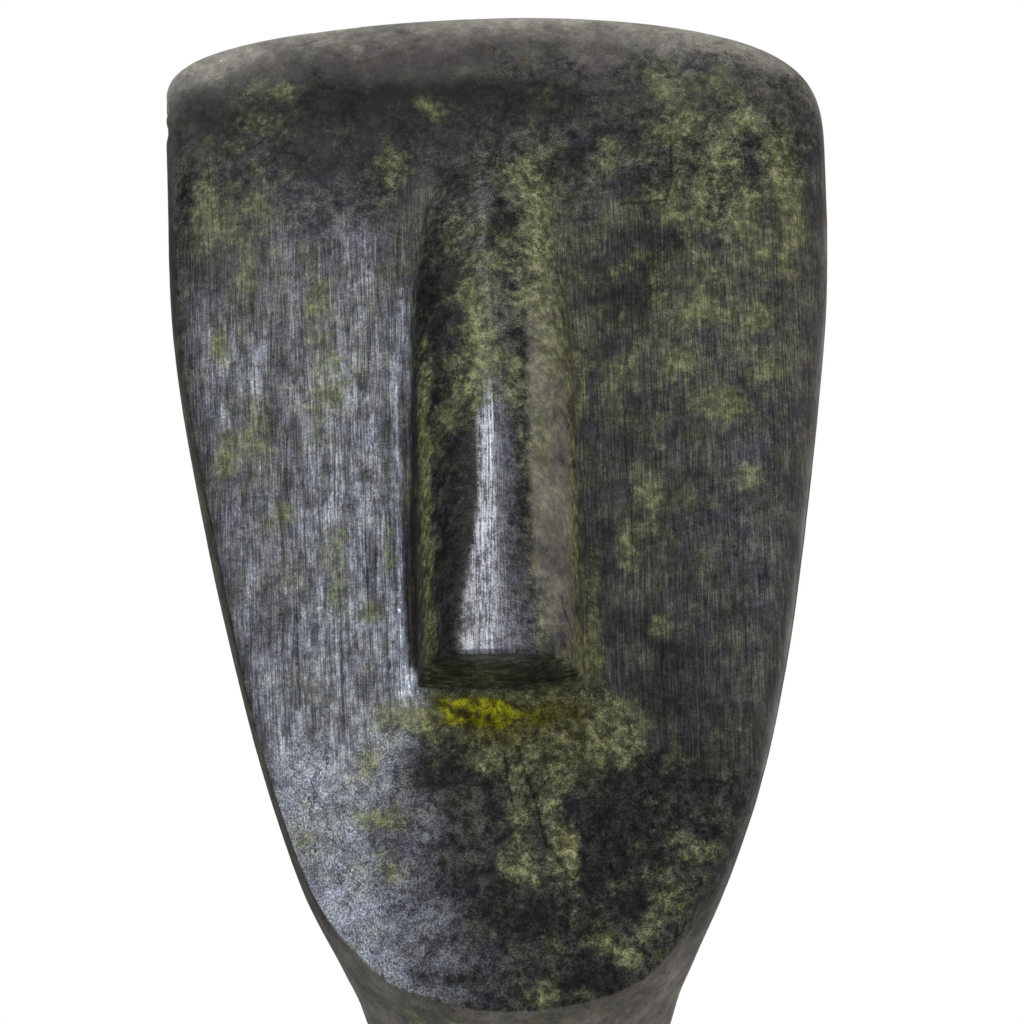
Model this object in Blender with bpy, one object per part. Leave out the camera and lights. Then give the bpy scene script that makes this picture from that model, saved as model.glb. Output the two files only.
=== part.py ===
"""Small cast bronze head of the schematic Cycladic kind, one solid.

The head and neck are a loft of level sections. The face is a sheet that leans back and cuts the
front off the loft, which leaves a sharp edge all round the face. The nose is a second loft, joined on.
Metres, +Z up. The face looks toward -Y and the middle of the flat underside is the origin.
"""

import math

import bmesh
import bpy
from mathutils import Matrix, Vector

# Overall
HEIGHT = 0.1254
HEAD_HALF_WIDTH = 0.0333

# Level sections below the crown: height, half width, Y of the widest line, reach in front of
# that line, reach behind it, squareness of the front and of the back (2 is an ellipse).
FOOT = (0.0000, 0.0174, 0.0000, 0.0158, 0.0160, 2.0, 2.0)
NECK = (0.0110, 0.0148, -0.0002, 0.0134, 0.0133, 2.0, 2.0)
THROAT = (0.0195, 0.0140, -0.0016, 0.0148, 0.0142, 2.0, 2.0)
CHIN = (0.0267, 0.0157, -0.0046, 0.0184, 0.0177, 2.1, 2.1)
JAW = (0.0302, 0.0172, -0.0060, 0.0225, 0.0194, 2.2, 2.2)
LOW_CHEEK = (0.0390, 0.0213, -0.0074, 0.0252, 0.0219, 2.5, 2.4)
MID_CHEEK = (0.0540, 0.0260, -0.0036, 0.0243, 0.0206, 2.8, 2.5)
HIGH_CHEEK = (0.0730, 0.0299, 0.0024, 0.0240, 0.0182, 2.8, 2.5)
TEMPLE = (0.0920, 0.0327, 0.0079, 0.0240, 0.0144, 3.2, 2.6)
BROW = (0.1070, 0.0333, 0.0117, 0.0240, 0.0098, 4.0, 2.8)
SECTIONS = (FOOT, NECK, THROAT, CHIN, JAW, LOW_CHEEK, MID_CHEEK, HIGH_CHEEK, TEMPLE, BROW)

# Crown: the level where each side starts to turn in, the power of the turn and its roundness
TURN_LEFT = (0.1165, 2.7, 2.2)
TURN_RIGHT = (0.1080, 3.6, 2.2)
TURN_FRONT = (0.080, 1.5, 1.45)
TURN_BACK = (0.098, 2.2, 2.0)
CROWN_MIDDLE_Y = 0.0132

# Face sheet
FACE_LEAN = math.radians(15.5)
CHIN_TIP_Y = -0.0230
FACE_SIDE_FALL = 0.0022
RIGHT_ROLL_START = 0.0270
RIGHT_ROLL_RADIUS = 0.0110

# Nose, measured in the leaning face
NOSE_SHIFT = -0.0010
NOSE_FOOT_Z = 0.0581
NOSE_LENGTH = 0.0560
NOSE_REACH = 0.0130
NOSE_REACH_POWER = 0.8
NOSE_HALF_WIDTH = 0.0082
NOSE_TOP_POWER = 6.0
NOSE_RIDGE_WIDE = 0.0038
NOSE_RIDGE_NARROW = 0.0007
NOSE_RIDGE_SPREAD = 0.0240
NOSE_SUNK = 0.0040

# Facets
SECTION_STEP = 0.0027
SECTION_POINTS = 72
CROWN_ROWS_START = 0.108
CROWN_ROWS = 15
SHEET_ROWS = 20
SHEET_COLUMNS = 39
SHEET_MARGIN = 0.006
CUT_DEPTH = 0.045
NOSE_ROWS = 20
FLANK_POINTS = 7
SMOOTH_ANGLE = math.radians(32.0)


def signed_power(value, power):
    """A power of the size of value, with its sign kept."""
    return math.copysign(abs(value) ** power, value)


def smooth_section(height):
    """One section between the named ones, on a curve with a slope taken from its neighbours."""
    last = len(SECTIONS) - 1
    span = 0
    while span < last - 1 and height > SECTIONS[span + 1][0]:
        span += 1
    low, high = SECTIONS[span], SECTIONS[span + 1]
    before = SECTIONS[max(span - 1, 0)]
    after = SECTIONS[min(span + 2, last)]
    step = high[0] - low[0]
    t = (height - low[0]) / step
    blend_low = 2 * t**3 - 3 * t**2 + 1
    blend_high = 1 - blend_low
    swing_low = t**3 - 2 * t**2 + t
    swing_high = t**3 - t**2
    values = []
    for k in range(1, len(low)):
        slope_low = step * (high[k] - before[k]) / (high[0] - before[0])
        slope_high = step * (after[k] - low[k]) / (after[0] - low[0])
        value = blend_low * low[k] + blend_high * high[k]
        values.append(value + swing_low * slope_low + swing_high * slope_high)
    return values


def closing(height, turn):
    """From 1 where a side of the crown starts to turn in to 0 at the top."""
    start, power, roundness = turn
    if height <= start:
        return 1.0
    part = min((height - start) / (HEIGHT - start), 1.0)
    return max(1 - part**power, 0.0) ** (1 / roundness)


def section(height):
    """Left half width, right half width, widest line, front reach, back reach, squareness twice."""
    half_width, middle, front, back, square_front, square_back = smooth_section(min(height, BROW[0]))
    left = half_width * closing(height, TURN_LEFT)
    right = half_width * closing(height, TURN_RIGHT)
    front *= closing(height, TURN_FRONT)
    if height > BROW[0]:
        part = (height - BROW[0]) / (HEIGHT - BROW[0])
        back_turn = closing(height, TURN_BACK) / closing(BROW[0], TURN_BACK)
        back_line = CROWN_MIDDLE_Y + (middle + back - CROWN_MIDDLE_Y) * back_turn
        middle += (CROWN_MIDDLE_Y - middle) * part
        back = max(back_line - middle, 0.0)
    return left, right, middle, front, back, square_front, square_back


def sheet_y(x, z):
    """Y of the face sheet: a leaning plane that falls back to the sides, more to the right."""
    fall = FACE_SIDE_FALL * (x / HEAD_HALF_WIDTH) ** 2
    past = min(max(x - RIGHT_ROLL_START, 0.0), RIGHT_ROLL_RADIUS)
    fall += RIGHT_ROLL_RADIUS - math.sqrt(RIGHT_ROLL_RADIUS**2 - past**2)
    return CHIN_TIP_Y + fall + math.tan(FACE_LEAN) * (z - CHIN[0])


def loft(name, rings, material, collection):
    """A closed solid through rings with the same number of points, capped at both ends."""
    work = bmesh.new()
    loops = [[work.verts.new(point) for point in ring] for ring in rings]
    count = len(rings[0])
    for low, high in zip(loops, loops[1:]):
        for k in range(count):
            after = (k + 1) % count
            work.faces.new((low[k], low[after], high[after], high[k]))
    work.faces.new(list(reversed(loops[0])))
    work.faces.new(loops[-1])
    bmesh.ops.recalc_face_normals(work, faces=work.faces)
    mesh = bpy.data.meshes.new(name)
    work.to_mesh(mesh)
    work.free()
    mesh.materials.append(material)
    made = bpy.data.objects.new(name, mesh)
    collection.objects.link(made)
    return made


def section_ring(height):
    """The points of one level section, anticlockwise seen from above."""
    left, right, middle, front, back, square_front, square_back = section(height)
    ring = []
    for k in range(SECTION_POINTS):
        angle = 2 * math.pi * k / SECTION_POINTS
        to_front = math.cos(angle) > 0
        power = 2 / (square_front if to_front else square_back)
        across = signed_power(math.sin(angle), power)
        along = signed_power(math.cos(angle), power)
        x = across * (right if across > 0 else left)
        y = middle - along * (front if to_front else back)
        ring.append(Vector((x, y, height)))
    return ring


def head_rings():
    """Level sections from the underside to just below the top, closer together over the crown."""
    rows = math.ceil(CROWN_ROWS_START / SECTION_STEP)
    heights = [CROWN_ROWS_START * k / rows for k in range(rows)]
    crown = HEIGHT - CROWN_ROWS_START
    for k in range(CROWN_ROWS + 1):
        turn = 0.5 * math.pi * k / (CROWN_ROWS + 0.35)
        heights.append(CROWN_ROWS_START + crown * math.sin(turn))
    return [section_ring(height) for height in heights]


def sheet_rings():
    """Rings of the cutting block, whose back is the face sheet."""
    edge = HEAD_HALF_WIDTH + SHEET_MARGIN
    across = [edge * (2 * k / SHEET_COLUMNS - 1) for k in range(SHEET_COLUMNS + 1)]
    bottom = CHIN[0] - 2 * SHEET_MARGIN
    top = HEIGHT + SHEET_MARGIN
    rings = []
    for k in range(SHEET_ROWS + 1):
        z = bottom + (top - bottom) * k / SHEET_ROWS
        ring = [Vector((x, sheet_y(x, z), z)) for x in across]
        far = CHIN_TIP_Y - CUT_DEPTH
        ring += [Vector((edge, far, z)), Vector((-edge, far, z))]
        rings.append(ring)
    return rings


def nose_ring(part):
    """One cross section of the nose, part running from 0 at its foot to 1 at its top."""
    down = 1 - part
    reach = NOSE_REACH * down**NOSE_REACH_POWER
    half = NOSE_HALF_WIDTH * math.sqrt(1 - part**NOSE_TOP_POWER)
    spread = min(part * NOSE_LENGTH / NOSE_RIDGE_SPREAD, 1.0)
    ease = spread * spread * (3 - 2 * spread)
    ridge = NOSE_RIDGE_WIDE + (NOSE_RIDGE_NARROW - NOSE_RIDGE_WIDE) * ease
    ridge = min(ridge, 0.5 * half)
    right = []
    for k in range(FLANK_POINTS + 1):
        angle = 0.5 * math.pi * k / FLANK_POINTS
        x = ridge + (half - ridge) * math.cos(angle)
        right.append((x, reach * math.sin(angle)))
    right = [(half, -NOSE_SUNK)] + right
    outline = right + [(-x, y) for x, y in reversed(right)]
    up = part * NOSE_LENGTH
    return [Vector((x, -out, up)) for x, out in outline]


def nose_rings():
    """Cross sections up the nose, placed on the leaning face."""
    foot = Vector((NOSE_SHIFT, sheet_y(NOSE_SHIFT, NOSE_FOOT_Z), NOSE_FOOT_Z))
    place = Matrix.Translation(foot) @ Matrix.Rotation(-FACE_LEAN, 4, "X")
    rings = []
    for k in range(NOSE_ROWS + 1):
        part = math.sin(0.5 * math.pi * k / (NOSE_ROWS + 0.5))
        rings.append([place @ point for point in nose_ring(part)])
    return rings


def make_collection(name, hidden=False):
    made = bpy.data.collections.new(name)
    bpy.context.scene.collection.children.link(made)
    made.hide_render = hidden
    return made


def make_material(name, colour, roughness, metallic):
    made = bpy.data.materials.new(name)
    made.use_nodes = True
    shader = made.node_tree.nodes["Principled BSDF"]
    shader.inputs["Base Color"].default_value = (*colour, 1.0)
    shader.inputs["Roughness"].default_value = roughness
    shader.inputs["Metallic"].default_value = metallic
    return made


def add_boolean(target, tool, operation):
    change = target.modifiers.new(tool.name, "BOOLEAN")
    change.operation = operation
    change.solver = "EXACT"
    change.object = tool


def main():
    for old in list(bpy.data.objects):
        bpy.data.objects.remove(old, do_unlink=True)

    bronze = make_material("bronze_patina", (0.045, 0.050, 0.042), 0.45, 0.6)
    head_collection = make_collection("head")
    cutters = make_collection("cutters", hidden=True)

    head = loft("head", head_rings(), bronze, head_collection)
    face_cut = loft("face_cut", sheet_rings(), bronze, cutters)
    nose = loft("nose", nose_rings(), bronze, cutters)
    for tool in (face_cut, nose):
        tool.display_type = "WIRE"
        tool.hide_render = True
    add_boolean(head, face_cut, "DIFFERENCE")
    add_boolean(head, nose, "UNION")

    head.data.shade_smooth()
    head.data.set_sharp_from_angle(angle=SMOOTH_ANGLE)


main()
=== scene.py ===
import math
from types import SimpleNamespace

import bpy
import numpy as np
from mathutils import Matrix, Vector


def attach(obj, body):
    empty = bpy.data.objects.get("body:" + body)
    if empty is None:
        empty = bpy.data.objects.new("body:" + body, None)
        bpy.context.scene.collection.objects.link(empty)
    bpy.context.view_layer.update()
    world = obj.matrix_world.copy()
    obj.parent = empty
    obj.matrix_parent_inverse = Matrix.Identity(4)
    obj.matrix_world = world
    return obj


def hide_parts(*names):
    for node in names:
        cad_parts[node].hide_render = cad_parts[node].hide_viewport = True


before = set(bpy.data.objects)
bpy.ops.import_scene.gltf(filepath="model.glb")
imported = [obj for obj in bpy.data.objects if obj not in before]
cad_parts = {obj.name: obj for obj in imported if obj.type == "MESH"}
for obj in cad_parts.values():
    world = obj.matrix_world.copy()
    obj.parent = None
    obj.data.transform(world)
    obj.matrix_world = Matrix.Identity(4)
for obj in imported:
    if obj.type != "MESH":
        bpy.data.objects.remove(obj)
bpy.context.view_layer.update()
print("frame loaded")

# level, half width, y of the widest line, reach in front, reach behind, squareness front and back
headForm = {
    "height": 0.1254,
    "halfWidth": 0.0333,
    "levels": [
        (0.0000, 0.0174, 0.0000, 0.0158, 0.0160, 2.0, 2.0),  # foot
        (0.0110, 0.0148, -0.0002, 0.0134, 0.0133, 2.0, 2.0),  # neck
        (0.0195, 0.0140, -0.0016, 0.0148, 0.0142, 2.0, 2.0),  # throat
        (0.0267, 0.0157, -0.0046, 0.0184, 0.0177, 2.1, 2.1),  # chin
        (0.0302, 0.0172, -0.0060, 0.0225, 0.0194, 2.2, 2.2),  # jaw
        (0.0390, 0.0213, -0.0074, 0.0252, 0.0219, 2.5, 2.4),  # low cheek
        (0.0540, 0.0260, -0.0036, 0.0243, 0.0206, 2.8, 2.5),  # mid cheek
        (0.0730, 0.0299, 0.0024, 0.0240, 0.0182, 2.8, 2.5),  # high cheek
        (0.0920, 0.0327, 0.0079, 0.0240, 0.0144, 3.2, 2.6),  # temple
        (0.1070, 0.0333, 0.0117, 0.0240, 0.0098, 4.0, 2.8),  # brow
    ],
    # where each side of the crown starts to turn in, the power of the turn, its roundness
    "turnLeft": (0.1165, 3.4, 1.9),
    "turnRight": (0.1080, 4.3, 1.92),
    "turnFront": (0.080, 1.5, 1.45),
    "turnBack": (0.098, 2.2, 2.0),
    "crownY": 0.0132,
    # slips of the hand in the outline: level, then how much wider the left and the right side are
    "outlineSlips": [
        (0.0200, 0.00000, 0.00000), (0.0300, 0.00009, 0.00002), (0.0340, 0.00010, -0.00006),
        (0.0376, 0.00006, -0.00011), (0.0415, 0.00002, 0.00005), (0.0460, -0.00006, 0.00024),
        (0.0500, -0.00008, 0.00026), (0.0570, -0.00007, 0.00015), (0.0650, -0.00003, 0.00015),
        (0.0720, 0.00004, 0.00006), (0.0800, 0.00008, -0.00011), (0.0860, 0.00014, -0.00019),
        (0.0920, 0.00011, -0.00015), (0.0980, 0.00012, -0.00002), (0.1045, 0.00008, 0.00008),
        (0.1120, 0.00000, 0.00000),
    ],
    "skin": 0.00004,  # how far the surface keeps inside the solid
    "depth": 0.022,  # usual distance from the axis to the surface
    "footRound": 0.0007,
}

faceForm = {
    "lean": math.radians(15.5),
    "chinLevel": 0.0267,
    "chinY": -0.0230,
    "sideFall": 0.0022,
    "fallPowerLow": 2.2,  # round across the chin
    "fallPowerHigh": 1.35,  # nearly two planes across the cheeks
    "rightRollStart": 0.0270,
    "rightRoll": 0.0110,
    "leftRound": (0.0026, 0.00034),  # how far in the left edge is worn round, and by how much
    "edgeSoftChin": 0.0012,
    "edgeSoftCrown": 0.0060,
    "edgeSoftLeft": 0.0004,
    "edgeSoftTemple": 0.0060,
    "edgeSoftRight": 0.0090,
    "edgeBegins": (0.80, 0.94),  # where the side edge starts, as a part of the half width
    "browLevels": (0.088, 0.108),  # where the crisp edge turns into the soft brow
    "chinLevels": (0.052, 0.070),
    "rolledFrom": (0.002, 0.012),  # across the face, where the right of the chin starts to roll
    "rolledAbove": (0.031, 0.044),
    "rolledSoft": 0.0042,
    "fileTop": (0.1010, 0.1130),
    "fileDepth": 0.00008,  # how far the filed cheeks lie below the cast chin
    # where the file marks stop under each cheek, x and z from left to right
    "fileEnd": [
        (-0.030, 0.0540), (-0.021, 0.0532), (-0.0165, 0.0519), (-0.010, 0.0560), (0.000, 0.0600),
        (0.010, 0.0575), (0.0135, 0.0517), (0.020, 0.0486), (0.024, 0.0494), (0.030, 0.0505),
    ],
}

noseForm = {
    "shift": -0.0010,
    "footLevel": 0.0581,
    "length": 0.0560,
    "reach": 0.0130,
    "reachPower": 0.8,
    "halfWidth": 0.0082,
    "topPower": 6.0,
    "ridgeWide": 0.0038,
    "ridgeNarrow": 0.0007,
    "ridgeSpread": 0.0240,
    "ridgeCrown": 0.00030,  # the filed ridge is a little round across
    "ridgeFull": 0.004,  # how far the nose has to reach out for all of that
    "footTilt": math.radians(1.65),
    "tiltReach": (0.002, 0.012),  # how far from the foot's level the tilt is felt
    "creaseSoft": 0.30,  # part of the reach that the crease fillet takes
    "topHalfWidth": 0.0086,
    "topBlend": (0.74, 1.0),  # where the nose loses its edges and runs out into the brow
    "grooveLeft": (0.00055, 0.00075, 0.00042),  # distance from the nose, width, depth
    "grooveRight": (0.00150, 0.00180, 0.00022),
    "lipLeft": (0.00170, 0.00260, 0.00024),
    "underHollow": (0.0024, 0.0012, 0.00035),
    "underHalfWidth": (0.0035, 0.0065),
    "wallFoot": -0.0014,  # the end face, up the nose from its foot: skirt, wall and rounded lip
    "wallStart": -0.0002,
    "wallEnd": 0.0002,
    "skirt": 0.07,
    "lip": 0.975,
}

# knocks and pits worth a dent in the mesh: x, z, radius, depth, in millimetres
knocks = [
    (-16, 124.6, 1.3, 0.42), (-32.9, 117, 0.8, 0.3), (-33.2, 114.6, 0.7, 0.25), (23.1, 86.2, 0.55, 0.3),
    (-1.6, 76.1, 0.4, 0.24), (-4.4, 64.6, 0.55, 0.3), (13.2, 56.8, 0.6, 0.14), (-14.6, 120.4, 0.5, 0.06),
    (9, 38, 1.6, 0.05),
]


def levelCurve(z):
    levels = np.array(headForm["levels"])
    heights, values = levels[:, 0], levels[:, 1:]
    slopes = np.empty_like(values)
    slopes[1:-1] = (values[2:] - values[:-2]) / (heights[2:] - heights[:-2])[:, None]
    slopes[0] = (values[1] - values[0]) / (heights[1] - heights[0])
    slopes[-1] = (values[-1] - values[-2]) / (heights[-1] - heights[-2])
    z = np.clip(z, heights[0], heights[-1])
    k = np.clip(np.searchsorted(heights, z) - 1, 0, len(heights) - 2)
    step = heights[k + 1] - heights[k]
    t = ((z - heights[k]) / step)[..., None]
    step = step[..., None]
    up = 3 * t**2 - 2 * t**3
    out = (1 - up) * values[k] + up * values[k + 1]
    out += (t**3 - 2 * t**2 + t) * step * slopes[k] + (t**3 - t**2) * step * slopes[k + 1]
    return np.moveaxis(out, -1, 0)


def closing(z, turn):
    start, power, roundness = turn
    part = np.clip((z - start) / (headForm["height"] - start), 0, 1)
    return np.clip(1 - part**power, 0, 1) ** (1 / roundness)


def levelShape(z):
    halfWidth, middle, front, back, squareFront, squareBack = levelCurve(z)
    browLevel = headForm["levels"][-1][0]
    slips = np.array(headForm["outlineSlips"])
    widest = headForm["halfWidth"] - headForm["skin"]
    left = np.minimum(halfWidth + np.interp(z, slips[:, 0], slips[:, 1]), widest)
    right = np.minimum(halfWidth + np.interp(z, slips[:, 0], slips[:, 2]), widest)
    left = left * closing(z, headForm["turnLeft"])
    right = right * closing(z, headForm["turnRight"])
    front = front * closing(z, headForm["turnFront"])
    part = np.clip((z - browLevel) / (headForm["height"] - browLevel), 0, 1)
    backTurn = closing(z, headForm["turnBack"]) / closing(np.array(browLevel), headForm["turnBack"])
    backLine = headForm["crownY"] + (middle + back - headForm["crownY"]) * np.minimum(backTurn, 1)
    newMiddle = middle + (headForm["crownY"] - middle) * part
    back = np.where(z > browLevel, np.maximum(backLine - newMiddle, 0), back)
    return left, right, newMiddle, front, back, squareFront, squareBack


def sheetY(x, z):
    power = faceForm["fallPowerLow"]
    power = power + (faceForm["fallPowerHigh"] - power) * smoothStep(z, 0.042, 0.062)
    fall = faceForm["sideFall"] * (np.abs(x) / headForm["halfWidth"]) ** power
    roll = faceForm["rightRoll"]
    past = np.clip(x - faceForm["rightRollStart"], 0, roll)
    fall = fall + roll - np.sqrt(roll**2 - past**2)
    return faceForm["chinY"] + fall + math.tan(faceForm["lean"]) * (z - faceForm["chinLevel"])


def softMax(a, b, reach):
    near = np.clip(reach - np.abs(a - b), 0, None)
    return np.maximum(a, b) + near**2 / (4 * reach)


def steps(end, count):
    return np.linspace(0, end, count, endpoint=False)


def smoothStep(value, low, high):
    t = np.clip((value - low) / (high - low), 0, 1)
    return t * t * (3 - 2 * t)


def fallOff(value, low, high):
    return 1 - smoothStep(value, low, high)


def band(value, rise, fall):
    return smoothStep(value, *rise) * fallOff(value, *fall)


def hump(value, middle, width):
    return np.exp(-(((value - middle) / width) ** 2))


def bodyFrontY(x, left, right, middle, front, square):
    half = np.where(x < 0, left, right)
    part = np.clip(np.abs(x) / np.maximum(half, 1e-7), 0, 1)
    return middle - front * np.clip(1 - part**square, 0, 1) ** (1 / square)


def outlineTop(x):
    # level of the outline above each x
    places = []
    for turn in (headForm["turnLeft"], headForm["turnRight"]):
        start, power, roundness = turn
        part = np.clip(np.abs(x) / headForm["halfWidth"], 0, 1)
        places.append(start + (headForm["height"] - start) * (1 - part**roundness) ** (1 / power))
    return np.where(x < 0, places[0], places[1])


def edgePlace(z, side):
    # how far out the face reaches at each level, as a part of the half width
    left, right, middle, front, _, square, _ = levelShape(z)
    half = left if side < 0 else right
    low, high = np.zeros_like(z), np.ones_like(z)
    for k in range(30):
        mid = (low + high) / 2
        x = side * mid * half
        inside = bodyFrontY(x, left, right, middle, front, square) < sheetY(x, z)
        low, high = np.where(inside, mid, low), np.where(inside, high, mid)
    return np.clip(low, 0.80, 0.965)


def noseHeight(u, v, part, ridge, half, reach):
    # how far the nose stands off the face at u across and v up from its foot
    across = (np.abs(u) - ridge) / np.maximum(half - ridge, 1e-6)
    flank = reach * np.sqrt(np.clip(1 - np.clip(across, 0, 1) ** 2, 0, 1))
    flank = flank - np.clip(across - 1, 0, None) * (half - ridge) * 8
    rounded = np.clip(np.abs(u) / ridge, 0, 1) ** 2 * np.clip(reach / noseForm["ridgeFull"], 0, 1)
    flank = flank - noseForm["ridgeCrown"] * rounded
    raised = softMax(flank, np.zeros_like(flank), np.maximum(noseForm["creaseSoft"] * reach, 1e-5))
    swell = 0.5 + 0.5 * np.cos(math.pi * np.clip(np.abs(u) / noseForm["topHalfWidth"], 0, 1))
    swell = swell * reach * smoothStep(1 - part, 0.0, 0.10)
    top = smoothStep(part, *noseForm["topBlend"])
    raised = raised * (1 - top) + swell * top
    low, start, end = noseForm["wallFoot"], noseForm["wallStart"], noseForm["wallEnd"]
    skirt, lip = noseForm["skirt"], noseForm["lip"]
    rise = np.where(v < start, skirt * np.clip((v - low) / (start - low), 0, 1) ** 2, 0)
    wall = np.clip((v - start) / (end - start), 0, 1)
    rise = np.where(v >= start, skirt + (lip - skirt) * wall, rise)
    ease = np.clip((v - end) / (end - start), 0, 1)
    rise = np.where(v > end, lip + (1 - lip) * (1 - (1 - ease) ** 2), rise)
    return raised * rise


def besideNose(u, v, half):
    # the groove, lip and hollow left by the file round the nose
    out = np.abs(u) - half
    along = band(v, (-0.0010, 0.0040), (0.030, 0.048))
    away = smoothStep(out, -0.0005, 0.0001)
    cut = np.zeros_like(out)
    cuts = (("grooveLeft", u < 0, 1), ("lipLeft", u < 0, -1), ("grooveRight", u > 0, 1))
    for key, side, sign in cuts:
        place, width, depth = noseForm[key]
        cut += np.where(side, hump(out, place, width) * depth * sign, 0)
    below, width, depth = noseForm["underHollow"]
    under = hump(v, -below, width) * depth * fallOff(np.abs(u), *noseForm["underHalfWidth"])
    return cut * along * away + under


noseFoot = noseForm["footLevel"]
meshForm = {
    # the level where each run of rows starts and how many rows it has, closer where the form turns
    "rowRuns": [
        (headForm["footRound"], 34), (0.0245, 34), (0.0330, 44), (noseFoot - 0.0040, 14),
        (noseFoot - 0.0002, 26), (noseFoot + 0.0002, 6), (noseFoot + 0.0020, 100), (0.1120, 57),
    ],
    "wallColumns": 12,
    "cheekColumns": 46,
    "flankColumns": 26,
    "ridgeColumns": 14,
    "backColumns": 78,
    "footRows": 4,
    "ridgePart": 0.40,  # of the nose's half width, where the ridge's columns start
    "narrows": (0.0900, 0.1130),  # where the nose's columns close in below the crown
    "opens": (0.030, 0.055),  # and where they open out above the chin
    "crowding": 0.115,  # how much closer the cheek's columns stand at its two edges
    # usual half width at a few levels, which the nose's columns follow
    "usualWidths": ([0, 0.0267, 0.112, 1], [0.0174, 0.0157, 0.0332, 0.0332]),
}


def rowLevels():
    rows = []
    for (low, count), after in zip(meshForm["rowRuns"], meshForm["rowRuns"][1:]):
        rows.append(np.linspace(low, after[0], count, endpoint=False))
    crown, count = meshForm["rowRuns"][-1]
    turn = steps(0.5 * math.pi, count)[:-1]
    rows.append(crown + (headForm["height"] - crown) * np.sin(turn))
    return np.concatenate(rows)


def columnPlaces(z):
    # x of every front column at every level, from the left silhouette to the right one
    left, right = levelShape(z)[:2]
    shrink = np.minimum(left, right) / np.interp(z, *meshForm["usualWidths"])
    narrow = 1 - 0.42 * smoothStep(z, *meshForm["narrows"])
    low = smoothStep(z, *meshForm["opens"])
    half = noseForm["halfWidth"] * narrow * np.minimum(shrink, 1) * (0.86 + 0.14 * low)
    ridge = meshForm["ridgePart"] * half
    shift = noseForm["shift"] * low * np.minimum(shrink, 1)
    leftEdge, rightEdge = -edgePlace(z, -1) * left, edgePlace(z, 1) * right

    def run(a, b, places):
        return a[:, None] + (b - a)[:, None] * places[None, :]

    wallTurn = steps(0.5 * math.pi, meshForm["wallColumns"])
    flankTurn = steps(0.5 * math.pi, meshForm["flankColumns"])
    acrossRidge = steps(1, meshForm["ridgeColumns"])
    cheekTurn = steps(1, meshForm["cheekColumns"])
    cheek = cheekTurn - meshForm["crowding"] * np.sin(2 * math.pi * cheekTurn)
    columns = [run(-left, leftEdge, 1 - np.cos(wallTurn))]
    columns += [run(leftEdge, shift - half, cheek)]
    columns += [run(shift - half, shift - ridge, 1 - np.cos(flankTurn))]
    columns += [run(shift - ridge, shift + ridge, acrossRidge)]
    columns += [run(shift + ridge, shift + half, np.sin(flankTurn))]
    columns += [run(shift + half, rightEdge, cheek)]
    columns += [run(rightEdge, right, np.sin(wallTurn))]
    return np.concatenate(columns, axis=1)


def softEdge(x, z, part, high):
    # how gently the head runs into the face: crisp at the chin and the left, soft at the brow
    form = faceForm
    leftSoft = form["edgeSoftLeft"] + (form["edgeSoftTemple"] - form["edgeSoftLeft"]) * high
    middleSoft = form["edgeSoftChin"] + (form["edgeSoftCrown"] - form["edgeSoftChin"]) * high
    out = smoothStep(part, *form["edgeBegins"])
    return middleSoft * (1 - out) + np.where(x < 0, leftSoft, form["edgeSoftRight"]) * out


def faceMark(x, z, inFront, high):
    # 1 on the face and 0 off it, fading where the edge is rolled or soft and crisp elsewhere
    wander = 0.5 * np.sin(310 * x + 1.0) + 0.3 * np.sin(790 * x + 2.2) + 0.2 * np.sin(1730 * x)
    crisp = -0.0003 - 0.0006 * fallOff(z, *faceForm["chinLevels"])
    rolled = smoothStep(x, *faceForm["rolledFrom"]) * smoothStep(z, *faceForm["rolledAbove"])
    softReach = faceForm["rolledSoft"] * np.maximum(rolled, high * (x > 0))
    reach = np.maximum(softReach, (crisp + 0.0023 * high) * (1 - rolled)) + 0.0016 * high * wander
    return smoothStep(inFront, -reach, 0.0007 + 0.0028 * high - reach)


def filedMark(x, z):
    # 1 where the cheeks are filed, with ragged ends above and below
    ends = np.array(faceForm["fileEnd"])
    waves = np.sin(900 * x + 0.7) + 0.7 * np.sin(2100 * x + 2.0) + 0.5 * np.sin(3300 * x)
    lowEnd = np.interp(x, ends[:, 0], ends[:, 1]) + np.where(x < 0, 0.0010, 0.0002) * waves
    blend = np.where(x < 0, 0.0042, 0.0005)
    waves = 0.0022 * np.sin(x / 0.0031 + 0.6) + 0.0016 * np.sin(x / 0.0011)
    return smoothStep(z, lowEnd - blend, lowEnd + blend), fallOff(z + waves, *faceForm["fileTop"])


def noseShape(part):
    # reach, half width and half width of the ridge, part running from 0 at the foot to 1 at the top
    reach = noseForm["reach"] * (1 - part) ** noseForm["reachPower"]
    half = noseForm["halfWidth"] * np.sqrt(np.clip(1 - part ** noseForm["topPower"], 0, 1))
    spread = np.clip(part * noseForm["length"] / noseForm["ridgeSpread"], 0, 1)
    ease = spread * spread * (3 - 2 * spread)
    ridge = noseForm["ridgeWide"] + (noseForm["ridgeNarrow"] - noseForm["ridgeWide"]) * ease
    return reach, half, np.maximum(np.minimum(ridge, 0.5 * half), 1e-6)


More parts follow.
